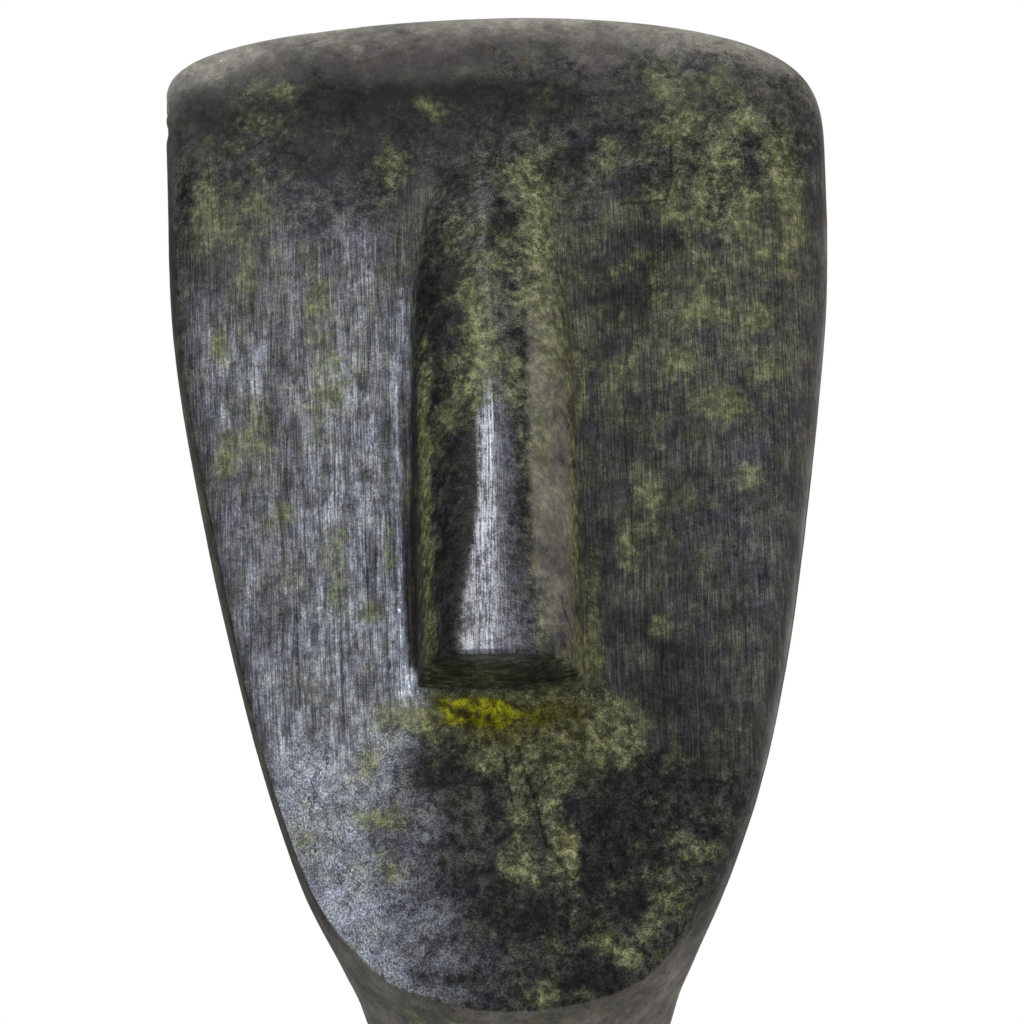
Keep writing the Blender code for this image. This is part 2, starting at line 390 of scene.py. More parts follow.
def headSurface():
    z = rowLevels()
    left, right, middle, front, _, squareFront, _ = levelShape(z)
    x = columnPlaces(z)
    zz = np.repeat(z[:, None], x.shape[1], axis=1)
    tilt = np.clip(x - noseForm["shift"], -0.012, 0.012) * math.tan(noseForm["footTilt"])
    near = fallOff(np.abs(zz - noseFoot), *noseForm["tiltReach"])
    zz = zz - tilt * near
    shape = [part[:, None] for part in (left, right, middle, front, squareFront)]
    body = bodyFrontY(x, *shape)
    sheet = sheetY(x, zz)
    half = np.where(x < 0, shape[0], shape[1])
    high = smoothStep(zz, *faceForm["browLevels"])
    wide, worn = faceForm["leftRound"]
    fromEdge = (edgePlace(z, -1) * left)[:, None] + x
    sheet = sheet + worn * np.clip(1 - fromEdge / wide, 0, 1.3) ** 2
    y = softMax(body, sheet, softEdge(x, zz, np.abs(x) / np.maximum(half, 1e-7), high))
    onFace = faceMark(x, zz, sheet - body, high)

    lean = faceForm["lean"]
    v = (zz - noseFoot) / math.cos(lean) + tilt * near
    u = x - noseForm["shift"]
    part = np.clip(v / noseForm["length"], 0, 1)
    reach, noseHalf, ridge = noseShape(part)
    rise = np.where(part < 1, noseHeight(u, v, part, ridge, noseHalf, reach), 0)
    onNose = smoothStep(rise, 0.0004, 0.0016)
    filedBelow, filedAbove = filedMark(x, zz)
    filed = onFace * (1 - onNose) * filedBelow * filedAbove
    rise = rise - besideNose(u, v, noseHalf) - filed * faceForm["fileDepth"]

    y = y - rise * math.cos(lean)
    inside = np.where(x < 0, left[:, None] + x, right[:, None] - x)
    places = {"face": onFace, "inside": inside, "nose": onNose, "filed": filed}
    places.update({"u": u, "v": v, "half": noseHalf, "ridge": ridge})
    return z, x, y, zz + rise * math.sin(lean), places


def headRings():
    z, x, y, zz, places = headSurface()
    left, right, middle, _, back, _, squareBack = levelShape(z)
    backTurn = np.linspace(0, math.pi, meshForm["backColumns"])[None, :-1]
    power = 2 / squareBack[:, None]
    across = np.cos(backTurn)
    across = np.sign(across) * np.abs(across) ** power
    bx = across * np.where(across > 0, right[:, None], left[:, None])
    by = middle[:, None] + back[:, None] * np.abs(np.sin(backTurn)) ** power
    bz = np.repeat(z[:, None], bx.shape[1], axis=1)
    rings = np.stack([np.concatenate(pair, axis=1) for pair in ((x, bx), (y, by), (zz, bz))], axis=2)
    rings[:, :, :2] *= 1 - headForm["skin"] / headForm["depth"]
    rest = np.zeros_like(bx)
    fill = {"u": 1.0, "v": 0.0, "half": 0.01, "ridge": 0.01, "inside": 1.0}
    for key, part in places.items():
        places[key] = np.concatenate([part, rest + fill.get(key, 0)], axis=1)
    return rings, places


def addKnocks(rings):
    across = np.roll(rings, -1, axis=1) - np.roll(rings, 1, axis=1)
    up = np.gradient(rings, axis=0)
    normal = np.cross(across, up)
    normal /= np.maximum(np.linalg.norm(normal, axis=2, keepdims=True), 1e-12)
    moved = rings.copy()
    for x, z, radius, depth in knocks:
        away = np.hypot(rings[:, :, 0] * 1000 - x, rings[:, :, 2] * 1000 - z)
        dent = np.exp(-((away / radius) ** 2)) * (rings[:, :, 1] < headForm["crownY"])
        moved -= normal * dent[:, :, None] * depth * 0.001
    return moved


def newObject(name, data):
    obj = bpy.data.objects.new(name, data)
    bpy.context.scene.collection.objects.link(obj)
    return obj


def ringMesh(name, rings, marks):
    centre = rings[0].mean(axis=0)
    inset = headForm["footRound"]
    foot = []
    footRows = meshForm["footRows"]
    for k in range(footRows):
        turn = 0.5 * math.pi * k / footRows
        ring = rings[0].copy()
        away = ring[:, :2] - centre[:2]
        length = np.linalg.norm(away, axis=1)[:, None]
        ring[:, :2] -= away / length * inset * (1 - math.sin(turn))
        ring[:, 2] = inset * (1 - math.cos(turn))
        foot.append(ring)
    rings = np.concatenate([np.array(foot), rings])
    rows, columns = rings.shape[:2]
    top = rings[-1].mean(axis=0)
    top[2] = headForm["height"] - headForm["skin"]
    points = np.concatenate([rings.reshape(-1, 3), top[None]])
    faces = []
    for r in range(rows - 1):
        a = r * columns
        for k in range(columns):
            n = (k + 1) % columns
            faces.append((a + k, a + n, a + columns + n, a + columns + k))
    last = (rows - 1) * columns
    for k in range(columns):
        faces.append((last + k, last + (k + 1) % columns, len(points) - 1))
    faces.append(tuple(reversed(range(columns))))
    mesh = bpy.data.meshes.new(name)
    mesh.from_pydata(points.tolist(), [], faces)
    for key, values in marks.items():
        values = np.concatenate([np.repeat(values[:1], footRows, axis=0), values])
        values = np.append(values.reshape(-1), values[-1].mean())
        layer = mesh.attributes.new(key, "FLOAT", "POINT")
        layer.data.foreach_set("value", values.astype(np.float32))
    mesh.validate()
    mesh.shade_smooth()
    return newObject(name, mesh)


# green patina: x, z, half width, half height, all in millimetres, and strength
greenPatches = [
    (-24.5, 118.5, 1.5, 1.2, 0.7), (-21, 118.5, 1.8, 1.2, 0.8), (-23, 115, 1.5, 1.5, 0.5),
    (-29, 106, 2, 3.5, 0.7), (-10.2, 110, 1.6, 2.5, 0.85), (-6.4, 116.4, 1.6, 1.8, 0.85),
    (11.5, 111, 1.5, 2.2, 0.5), (-28, 92.8, 1, 1.8, 1.1), (-16.2, 88.9, 1.9, 2.4, 0.55),
    (-18.5, 86.5, 2.6, 2.6, 0.4), (-27.2, 82, 2, 3.2, 0.7), (-24, 83.5, 1.6, 3.6, 0.45),
    (-17.5, 93.5, 2.4, 3.5, 0.35), (-21.7, 76, 1.5, 1.4, 0.75), (-16.5, 73, 1.4, 4, 0.45),
    (-21.9, 69.7, 1.1, 1.6, 0.6), (-19.3, 71, 2, 3, 0.3), (-16.5, 67.5, 1.3, 2, 0.5),
    (-13.5, 66, 1.2, 1.2, 0.8), (-11.8, 71.5, 0.7, 2.4, 0.8), (-20, 58.5, 3, 2, 0.5),
    (-12, 40.5, 1.3, 1.3, 0.8), (-12, 46, 2, 2, 0.5), (17, 118, 2, 2.5, 0.7), (19, 113.5, 2.5, 2, 0.7),
    (24.5, 115, 1.7, 2.2, 0.6), (27.5, 112, 1.3, 1.8, 0.5), (18, 117.5, 1.5, 1.5, 0.4),
    (16.5, 105.5, 1.5, 1.5, 0.6), (20, 105.5, 1, 2, 0.45), (29, 107.5, 1.2, 3.5, 0.7),
    (26.5, 101, 0.8, 1.2, 0.9), (30, 103, 0.8, 1.5, 0.8), (24, 104, 1.5, 1.5, 0.6), (20, 95, 3, 1.5, 0.6),
    (26, 94, 1, 1.2, 0.8), (17.5, 90, 1.5, 1.5, 0.6), (26, 88.5, 1.2, 1.2, 0.7),
    (22, 85.5, 2.2, 1.5, 0.9), (24, 78, 1.2, 1, 0.7), (14, 75.5, 1.5, 3.5, 0.6), (12, 72, 1.2, 2, 0.6),
    (15, 64, 1.3, 1.3, 0.8), (-11.6, 56.2, 2, 1.4, 0.7), (-1, 57.4, 6.5, 0.6, 0.8), (-8, 55, 3, 1.2, 0.9),
    (8.2, 54.6, 2.4, 2.4, 1), (7.8, 52, 1.8, 2.4, 0.8), (8.4, 66, 0.9, 6, 0.55), (8, 61.3, 0.9, 2.3, 0.9),
    (8, 88.5, 1, 3, 0.5), (1, 88.5, 1.2, 2.5, 0.6), (4.4, 54.8, 2.6, 1.8, 0.5),
    (-5.5, 56.2, 2.4, 1.2, 0.5), (4.4, 41.5, 1.2, 1.6, 0.6), (0.8, 53.1, 1.8, 1.3, 0.6),
    (4.4, 53.1, 2, 1.2, 0.5), (22.5, 119, 2.5, 2, 0.3), (-2.7, 51, 1.6, 1.6, 0.4),
    (15, 50.2, 1.4, 1, 0.4), (11.8, 85.5, 1.2, 1.5, 0.35), (4.4, 34, 2, 2.5, 0.25),
    (21.8, 53, 2, 2.5, 0.3), (-17, 82.5, 1.3, 2.6, 0.45), (-6.2, 83.5, 0.9, 2.5, 0.45),
    (3.4, 83, 1.3, 5, 0.45), (3, 63.5, 0.7, 2.2, 0.5), (5.6, 60.6, 0.9, 1.6, 0.5),
    (2.7, 69, 0.5, 1.8, 0.4), (5.6, 90, 1, 5, 0.35), (6.2, 73, 0.6, 6, 0.3), (4.4, 100.5, 1.2, 3.5, 0.35),
    (29.2, 100.5, 1.3, 3.5, 0.35), (25.7, 106.5, 1.4, 1.6, 0.5), (29.2, 108, 1.5, 3, 0.3),
    (22.1, 117.8, 1.8, 1.6, 0.5), (15.2, 119.8, 1.8, 1.5, 0.5), (2.4, 109.5, 2.2, 1.3, 0.5),
    (-24, 106.5, 1.8, 1.8, 0.4), (11.4, 88.2, 1.8, 2.2, 0.5), (10.8, 52.6, 1.6, 2.2, 1.1),
    (1, 51.5, 2, 2.2, 0.6), (0.3, 46.5, 0.9, 4.5, 0.55), (4.4, 49.6, 1.4, 2, 0.85),
    (3.7, 45.9, 1.1, 1.8, 0.6), (4.9, 42.9, 1.3, 1.5, 0.7), (0.4, 40.8, 1.8, 1.7, 1),
    (5.4, 41.5, 0.9, 1.6, 0.7), (-14.1, 45.8, 2.6, 1.3, 0.6), (-13.4, 42.3, 1.2, 1.1, 0.5),
    (-20.5, 44, 1.3, 1.6, 0.85), (-14.2, 52, 1.6, 3.4, 0.65), (8, 34, 1.3, 1.3, 0.6),
    (11, 32.5, 2.2, 1.8, 0.5), (14.5, 36.5, 2, 2.5, 0.6), (18, 42, 2.5, 1.5, 0.7), (2, 28.5, 3, 1.2, 0.6),
    (-4.5, 104, 1.6, 2.5, 0.35), (0, 101, 3, 3, 0.38), (-1.5, 91.5, 1.6, 4.5, 0.9),
    (-4.4, 87, 1.3, 4, 0.6), (5, 92, 1.2, 3, 0.6), (3, 97, 2, 2, 0.4), (-2.2, 88, 0.9, 4.5, 0.9),
    (-2.6, 96, 1.3, 3.5, 0.6), (4.2, 105, 1.5, 4.5, 0.7), (22.5, 109.5, 1.8, 1.8, 0.6),
    (-10, 25, 1.5, 3, 0.7), (-6, 24, 1.2, 3, 0.5),
]
# wide areas where the green is only thin mottling
greenAreas = [
    (21, 103, 13, 16, 0.46), (-25, 113, 9, 8, 0.25), (0, 99, 7, 13, 0.38), (1, 54.5, 11, 3.2, 1.05),
    (2, 46, 5, 9, 0.22), (0, 18, 15, 8, 0.22), (2, 25.5, 8, 2.5, 0.35), (-26.5, 102, 4.5, 6, 0.24),
    (-18, 99, 7, 6, 0.26), (-14, 91, 4, 6, 0.14), (-18.5, 98, 1.2, 4.5, 0.35),
    (-25.3, 99.5, 1.3, 3.2, 0.45), (0.8, 103.5, 1.8, 1.8, -0.4), (0.8, 97.8, 1.6, 1.6, -0.3),
    (8, 41.5, 1.5, 1.6, -0.4), (11.5, 70.7, 1.3, 1.5, 0.35), (-24, 80, 4, 9, 0.14),
    (-16.3, 70, 2.2, 6, 0.26), (13, 36, 9, 8, 0.25), (-20, 80, 12, 24, 0.14), (20, 80, 12, 20, 0.22),
    (4.5, 76, 3, 26, 0.3),
]
# dark wax left in the hollows, in the same form
darkPatches = [
    (-4.5, 53, 2.5, 1.5, 0.9), (-7.4, 50.2, 3.6, 2.2, 0.9), (11, 44.5, 6.5, 5, 1.1),
    (-1, 36, 5.5, 4, 0.7), (8, 37, 5, 4, 0.9), (17, 50, 5, 3, 0.8), (8, 30, 3, 2.5, 0.8),
    (-10, 33, 4, 3, 0.5), (-20, 115.5, 8, 2.5, 0.5), (-12, 116, 6, 3, 0.7), (-16.5, 112.5, 4, 2, 0.6),
    (0, 117, 7, 2, 0.6), (30, 114, 2, 3, 0.6), (9.8, 85, 1.5, 22, 0.25), (-30, 100, 1.5, 3, 0.4),
    (17.4, 109.5, 0.5, 2.5, 0.8), (15, 106.5, 2, 0.5, 0.6), (17, 55, 6, 4, 0.4),
    (11.5, 95.5, 2.5, 5, 0.8), (15, 98, 2.2, 4, 0.9), (18.4, 103, 2.1, 2.4, 1.1),
    (0.8, 103.8, 2.2, 2.4, 1.2), (-12, 106.5, 4, 2, 0.5), (14.5, 106.6, 3.5, 1.7, 0.55),
    (20, 105.8, 3, 1.6, 0.35), (7.9, 109.5, 1.6, 1.6, 0.5), (14, 56.5, 2.5, 1.5, 0.5),
    (13, 64.5, 3, 4, 0.35), (22.3, 64.8, 1.6, 1.8, 0.8), (15, 79.6, 1.5, 1.5, 0.7),
    (-13.4, 38.6, 1.6, 1.6, 0.5), (-10, 38, 1.6, 1.6, 0.3), (-6, 43, 1.5, 2, 0.35),
    (-1.6, 76.1, 0.35, 0.35, 1.6), (-4.6, 64.9, 0.5, 0.35, 1.3), (6.5, 116.4, 3, 2, 0.7),
    (15.5, 60, 2.5, 4, 0.7), (4.4, 58.8, 2.5, 0.8, 0.8), (4.8, 56.3, 1.8, 1.3, 1),
    (-13.4, 88.5, 1.3, 1.3, 0.6), (-16.9, 82.5, 1.3, 1.5, 0.6), (-13.4, 79.6, 1.3, 1.4, 0.7),
    (-27.4, 99, 1.8, 2.6, 0.55), (18.6, 47.3, 1.4, 1.4, 0.35), (-27.6, 88.5, 1.3, 1.4, 0.65),
    (-16.9, 112.5, 1.5, 1.4, 0.4), (-20.5, 67.8, 1.3, 1.3, 0.6), (-9.8, 30.3, 1.6, 1.3, 0.4),
    (8.2, 41.5, 1.2, 1.4, 0.7), (-31, 106, 1.2, 4, 0.5), (0.8, 99.5, 2.5, 3, 0.35),
    (0.8, 67.8, 0.9, 1.6, 0.5), (15, 102, 2, 6, 0.35), (25.7, 67.8, 1.5, 1.5, 0.4),
    (4.4, 73.7, 1.2, 1.6, 0.4), (4.4, 61.9, 1.6, 1, 0.4), (11.5, 50.2, 1.6, 1.4, 0.5),
    (11.5, 38.6, 1.5, 1.4, 0.4), (6, 29.5, 3, 1.2, 0.5), (-20, 44, 1.3, 1.3, 0.3), (-26, 112, 6, 3, 0.35),
    (-17, 112, 3, 2.5, 0.85), (-6.3, 88.9, 1.1, 1.8, 0.6), (-6.3, 103.5, 1.5, 2, 0.6),
    (-5, 30, 3, 1.2, 0.7), (9, 73, 1.6, 9, 0.4), (-6, 93, 2, 8, 0.3),
]
# yellow-green deposit caught under the nose, in the same form
crevicePatches = [
    (-3.4, 56, 2.6, 1, 0.95), (-2, 55, 2.2, 1.3, 0.75), (1.4, 55.7, 3, 0.9, 0.55),
    (-5.6, 55.8, 1.5, 1.2, 0.75), (2.6, 54.4, 1.4, 1, 0.4), (-0.5, 53.2, 1.2, 1.2, 0.35),
    (-3.6, 57, 3, 0.5, 0.3), (4.6, 56, 1.9, 1.4, 0.6), (-7, 57.6, 0.8, 1.2, 0.35),
    (0.5, 54.2, 6, 1.8, 0.16), (-8.4, 55.4, 1.8, 1.2, 0.34), (-1.6, 55.9, 1.3, 0.8, 0.45),
    (7.2, 55.2, 1.4, 1.6, 0.16), (-2, 57.4, 6.5, 0.6, 0.22), (5.2, 42.9, 0.6, 0.8, 0.5),
    (1.4, 40.8, 0.6, 0.5, 0.5), (13.6, 32.4, 0.6, 0.8, 0.45), (9.3, 34, 0.5, 0.4, 0.35),
    (16, 36.6, 0.4, 0.5, 0.45), (-11, 40.2, 0.6, 0.4, 0.5), (12.6, 50.9, 0.4, 0.6, 0.45),
]
# places painted a brighter, bluer sheen, partly where the patina is worn, in the same form
wearAndSheenPatches = [
    (-12.2, 89, 2.6, 7, 0.3), (-21, 98, 3, 8, 0.14), (-28.8, 93.9, 2, 8, 0.2), (-16.6, 78, 3.5, 18, 0.45),
    (-19.5, 66, 5, 14, 0.46), (-27, 84, 2.5, 10, 0.25), (-24.3, 87, 1.6, 5, 0.18),
    (-21.2, 48.4, 2.4, 4.6, 1.25), (-17.8, 42.6, 5, 8, 0.82), (-16.8, 41.4, 1.6, 2.2, 0.65),
    (-17, 36, 3.2, 4.5, 1.35), (-11, 34, 4, 5, 0.6), (-12.6, 68, 2.6, 11, 0.42), (-14, 54, 4, 4, 0.38),
    (-9.5, 46, 2, 4, 0.3), (-9, 31, 5, 3, 0.4), (-13, 30.5, 3, 2, 0.9), (-7, 36, 1.8, 1.4, 0.24),
    (-16.9, 41.5, 1.6, 1.8, 1.1), (-16.9, 88.5, 1.4, 1.4, 0.4), (-13.4, 53, 1.4, 1.4, 0.4),
    (-9.5, 96.3, 0.45, 1.6, 0.7), (-9.9, 93.5, 0.5, 2, 0.65), (-10.3, 90.6, 0.5, 2, 0.6),
    (-27.6, 91.5, 1.4, 1.4, 0.3), (-14, 97, 1.5, 3, 0.34), (-16.2, 88.9, 1.9, 2.4, 0.45),
    (-13.4, 51.6, 1.8, 3, 0.42), (-13.4, 47.4, 1.8, 1.6, 0.3), (-20.3, 56.5, 2, 2, 0.28),
    (-9.9, 57, 1.3, 2.2, 1.1), (-24, 75.5, 1.6, 3, 0.22), (-13.2, 82.5, 1.2, 2, 0.35),
    (-16.8, 72, 1.5, 3, 0.28), (-9.8, 92.5, 0.9, 4, 0.3), (-24, 91, 1.8, 2.5, 0.24),
    (-20.5, 88.5, 1.6, 2, 0.28), (-16.9, 94.5, 1.5, 2, 0.22), (24, 76, 4, 12, 0.06),
    (-14, 103, 3, 2.5, 0.2), (-27.6, 85.5, 1.2, 1.4, 0.25), (-25.8, 69, 1.2, 3, 0.25),
    (-6.3, 30, 1.5, 1.2, 0.3), (-19.5, 40, 2, 3, 0.4), (-9.3, 60.5, 1.6, 4, 0.7),
]


def dabs(x, z, places):
    total = np.zeros_like(x)
    for px, pz, wide, high, strength in places:
        away = ((x * 1000 - px) / wide) ** 2 + ((z * 1000 - pz) / high) ** 2
        total += strength * np.exp(-away)
    return total


# the polished ridge with its painted highlight, and the nose's sides: distances up the nose from its
# foot, from and to
noseFinish = {
    "foot": (-0.0006, 0.0010),
    "bright": (0.0235, 0.0310),  # where the full polish and its painted highlight end
    "faint": 0.28,  # what is left of it higher up
    "end": (0.034, 0.050),
    "leftEdge": (0.93, 1.02),  # in half widths of the ridge
    "leftWiden": (0.012, 0.024),
    "leftWider": 0.0009,
    "rightSpread": (0.012, 0.020),
    # the right of the ridge is painted darker, as painted shade where the highlight falls off
    "rightDim": 0.64,
    "plain": 0.80,
    "core": 0.60,  # how much brighter the painted highlight line along the middle is
    "flank": (0.96, 1.14),
    "low": ((-0.001, 0.001), (0.026, 0.044)),  # the part of the nose that has a crease at its foot
    "creaseLeft": (0.30, -0.0013, 0.0008),  # strength, place beside the nose's foot, width
    "creaseRight": (0.20, -0.0004, 0.0005),
}


# the polished ridge, painted bright as its highlight, with a brighter line along the middle
def burnishedMark(at):
    form = noseFinish
    mark = at.nose * at.up * (form["faint"] + (1 - form["faint"]) * fallOff(at.v, *form["bright"]))
    mark = mark * fallOff(at.v, *form["end"])
    wider = form["leftWider"] * smoothStep(at.v, *form["leftWiden"])
    near, far = (at.ridge * part + wider for part in form["leftEdge"])
    mark = mark * fallOff(-at.u, near, far + 0.0002)
    high = smoothStep(at.v, *form["rightSpread"])
    near, far = at.ridge * (0.06 + 0.24 * high), at.ridge * 0.62 + 0.0004 + 0.0015 * high
    mark = mark * (1 - form["rightDim"] * smoothStep(at.u, near, far))
    near, far = at.ridge * 0.92 + 0.0008 * high, at.ridge * 1.10 + 0.0003 + 0.0014 * high
    mark = mark * fallOff(at.u, near, far)
    return mark * (form["plain"] + form["core"] * at.core)


# bare cast skin, as on the crown, and where it is painted pale: the right of the nose and the neck,
# partly pale skin and partly painted light, and a painted reflection along the crown's rim
skinAndLightFinish = {
    "crown": (0.1070, 0.1180),
    "crownPart": 0.6,
    "nosePart": 0.35,
    "inner": (0.10, 0.20),  # across the right of the nose, in half widths
    "outer": (0.36, 0.50),
    "noseEdge": (0.88, 1.0),
    "noseFade": (0.026, 0.050),
    "noseFoot": (0.000, 0.014),
    # painted light on the right flank of the nose, partly pale skin
    "nosePale": 0.56,
    "neckRise": (0.010, 0.022),
    "neckEnd": (0.020, 0.060),
    "rimLeft": 0.0024,  # how deep the painted reflection along the rim reaches below the outline
    "rimRight": 0.0034,
    "rimCorner": 0.0030,
    "rimLevels": (0.104, 0.114),
}


def skinAndLightMarks(at):
    form = skinAndLightFinish
    part = at.across / np.maximum(at.half, 1e-6)
    # painted light on the right of the nose, partly pale skin
    pale = 0.25 * smoothStep(part, *form["inner"]) + 0.75 * smoothStep(part, *form["outer"])
    pale = at.nose * at.up * (at.u > 0) * pale * fallOff(part, *form["noseEdge"])
    pale = pale * (0.9 - 0.50 * smoothStep(at.v, *form["noseFade"]))
    pale = pale * (0.65 + 0.35 * smoothStep(at.v, *form["noseFoot"]))
    cast = np.maximum(1 - at.face, form["crownPart"] * smoothStep(at.z, *form["crown"]))
    cast = np.maximum(np.maximum(cast, form["nosePart"] * at.nose), 0.95 * pale)
    # a paler neck, more so towards its back, partly pale skin and partly painted light
    neck = (0.26 + 0.24 * smoothStep(at.z, *form["neckRise"])) * fallOff(at.z, *form["neckEnd"])
    neck = neck + 0.16 * smoothStep(at.y, -0.012, 0.004)
    pale = np.maximum(form["nosePale"] * pale, neck * (1 - at.face))
    # a painted reflection along the crown's outline
    depth = np.where(at.x < 0.004, form["rimLeft"], form["rimRight"])
    depth = depth + form["rimCorner"] * smoothStep(-at.x, 0.021, 0.031)
    rim = np.exp(-np.clip(outlineTop(at.x) - at.z, 0, 1) / depth) * smoothStep(at.z, *form["rimLevels"])
    return cast, np.maximum(pale, rim * (1 - 0.35 * smoothStep(at.x, 0.022, 0.030)))


# wear and painted sheen: painted highlights along the left edge, down the ridge of the nose and on the
# lip beside its foot
wearAndSheenForm = {
    "edge": (0.0027, 0.0015),  # how far in from the outline the painted highlight line runs, and its width
    "edgeLevels": ((0.034, 0.042), (0.066, 0.082)),
    "edgePart": 0.26,
    # painted highlight down the ridge of the nose
    "ridge": 0.15,
    "shaft": 0.60,
    "shaftRun": ((0.010, 0.022), (0.025, 0.034)),
    # painted highlight on the lip beside the nose's foot
    "lip": (0.0014, 0.0005),
    "lipPart": 0.45,
    "lipFoot": 1.25,
    "lipRun": ((-0.003, 0.000), (0.006, 0.016)),
}


# wear and painted sheen, with painted highlights along the left edge, down the ridge and on the lip
def wearAndSheenMark(at):
    form = wearAndSheenForm
    worn = dabs(at.x, at.z, wearAndSheenPatches) * at.face * (1 - at.nose)
    edge = form["edgePart"] * hump(at.inside, *form["edge"]) * band(at.z, *form["edgeLevels"])
    worn += np.where(at.x < 0, edge, 0) * at.face
    shaft = form["ridge"] + form["shaft"] * band(at.v, *form["shaftRun"])
    worn += at.nose * at.up * at.core * shaft
    lip = np.where(at.u < 0, hump(at.across - at.half, *form["lip"]), 0) * (1 - at.nose)
    return worn + lip * (form["lipPart"] * at.low + form["lipFoot"] * band(at.v, *form["lipRun"]))


# how strong the green is in each place, and from where to where it fades
greenForm = {
    "patches": 0.95,
    "areas": 0.8,
    "crease": 2.2,
    "underNose": 0.45,
    "underRight": (0.000, 0.005),
    "back": 0.30,
    "crown": (0.1135, 0.1195),
    "edge": 0.34,
    "edgeLevels": ((0.030, 0.050), (0.085, 0.105)),
}


def greenMark(at, burnished):
    form = greenForm
    green = form["patches"] * dabs(at.x, at.z, greenPatches)
    green = (green + form["areas"] * dabs(at.x, at.z, greenAreas)) * at.onFront
    green = green + form["crease"] * at.crease
    under = form["underNose"] * at.underNose * (1 - 0.7 * smoothStep(at.u, *form["underRight"]))
    green = np.maximum(green, under) * (1 - 0.7 * burnished)
    green = np.maximum(green, form["back"] * (1 - at.onFront))
    green = green * (1 - 0.35 * smoothStep(at.z, *form["crown"]))
    return np.maximum(green, form["edge"] * at.leftSide * band(at.z, *form["edgeLevels"]))


# the same for the dark mask: dark wax, painted shade under the nose, on its left flank, down the left
# side and in the crease at its left foot, and darker sides and a darker band across the brow
darkForm = {
    # painted shade on the underside of the nose
    "underNose": 0.9,
    # painted shade on the left flank of the nose
    "flank": 0.85,
    # painted shade down the left side of the head
    "rim": 0.75,
    "rimLevels": ((0.028, 0.040), (0.106, 0.116)),
    # darker on the sides, off the face, between these levels
    "sides": 0.42,
    "sideLevels": ((0.010, 0.050), (0.096, 0.112)),
    # a darker band across the top of the brow, on the left
    "crown": 0.55,
    "crownLevel": (0.1155, 0.0045),
    "crownEnd": (0.000, 0.014),
    "trench": 1.1,  # painted shade in the crease along the left foot of the nose
    "trenchWidth": 0.0009,
    "trenchRun": ((0.0005, 0.0030), (0.028, 0.044)),
    "trenchDrawnIn": (0.010, 0.034),
}


def darkMark(at):
    form = darkForm
    near, far = (at.ridge * part for part in noseFinish["flank"])
    flank = at.nose * at.up * smoothStep(at.across, near, far + 0.0004)
    # dark wax, and painted shade under the nose and on its left flank
    dark = dabs(at.x, at.z, darkPatches) * at.onFront + form["underNose"] * at.underNose
    dark = dark + form["flank"] * flank * (at.u < 0) * (1 - 0.5 * smoothStep(at.v, *noseFinish["end"]))
    # painted shade down the left side, then darker sides and a darker band across the brow
    dark = np.maximum(dark, form["rim"] * at.leftSide * band(at.z, *form["rimLevels"]))
    dark = np.maximum(dark, form["sides"] * (1 - at.face) * band(at.z, *form["sideLevels"]))
    crown = hump(at.z, *form["crownLevel"]) * fallOff(at.x, *form["crownEnd"])
    dark += form["crown"] * crown * at.onFront
    # painted shade in the crease at the nose's left foot
    middle = 0.0002 - 0.0016 * smoothStep(at.v, *form["trenchDrawnIn"])
    trench = form["trench"] * hump(at.across - at.half, middle, form["trenchWidth"])
    return dark + np.where(at.u < 0, trench, 0) * band(at.v, *form["trenchRun"])


def finishMarks(rings, places):
    x, y, z = np.moveaxis(rings, 2, 0)
    at = SimpleNamespace(x=x, y=y, z=z, **places)
    at.across = np.abs(at.u)
    at.onFront = smoothStep(headForm["crownY"] - y, 0.000, 0.006)
    at.up = smoothStep(at.v, *noseFinish["foot"])
    at.underNose = at.nose * (1 - at.up)
    at.low = band(at.v, *noseFinish["low"])
    # the painted highlight line along the ridge of the nose
    leaning, widening = np.clip(0.012 - at.v, 0, 1), np.clip(0.014 - at.v, 0, 1)
    at.core = hump(at.u, -0.0006 - 0.10 * leaning, 0.0007 + 0.05 * widening)
    creases = []
    for strength, middle, width in (noseFinish["creaseLeft"], noseFinish["creaseRight"]):
        creases.append(strength * hump(at.across - at.half, middle, width))
    at.crease = np.where(at.u < 0, *creases) * at.low * (at.across < at.half + 0.002)
    widest = levelShape(z[:, 0])[2][:, None]
    at.leftSide = np.where(x < 0, 1 - at.face, 0) * fallOff(y - widest, 0.001, 0.010)

    burnished = burnishedMark(at)
    castSkin, paleSkinAndLight = skinAndLightMarks(at)
    under = dabs(x, z, crevicePatches) * (at.v < 0.0005) * (1 - at.nose)
    crevice = np.clip(0.75 * at.crease + under + 0.12 * at.underNose, 0, 1) * at.face
    # the worn mark is partly real wear and partly painted sheen and highlight
    marks = {"filed": at.filed, "burnished": burnished, "castSkin": castSkin, "worn": wearAndSheenMark(at)}
    # pale skin with painted light, and a painted reflection on the crown's rim
    marks.update({"paleSkinAndLight": paleSkinAndLight, "crevice": crevice})
    # the dark mask holds dark wax and painted shade
    marks.update({"greenPatina": greenMark(at, burnished), "darkWaxAndShade": darkMark(at)})
    return {key: np.clip(values, 0, 1) for key, values in marks.items()}


rings, places = headRings()
marks = finishMarks(rings, places)
headCast = ringMesh("head_cast", addKnocks(rings), marks)
print("head form made:", len(headCast.data.polygons), "faces")


# what the casting and the file leave all over the surface, in metres
reliefForm = {
    "Hollow depth": 0.00007,
    "Hollow size": 0.012,
    "Stroke depth": 0.000035,
    "Stroke width": 0.0022,
    "Grain depth": 0.00003,
    "Grain size": 0.0011,
    "Pit depth": 0.00012,
    "Pit radius": 0.00075,
    "Pits": 9000.0,  # for each square metre
    "Seed": 11,
}


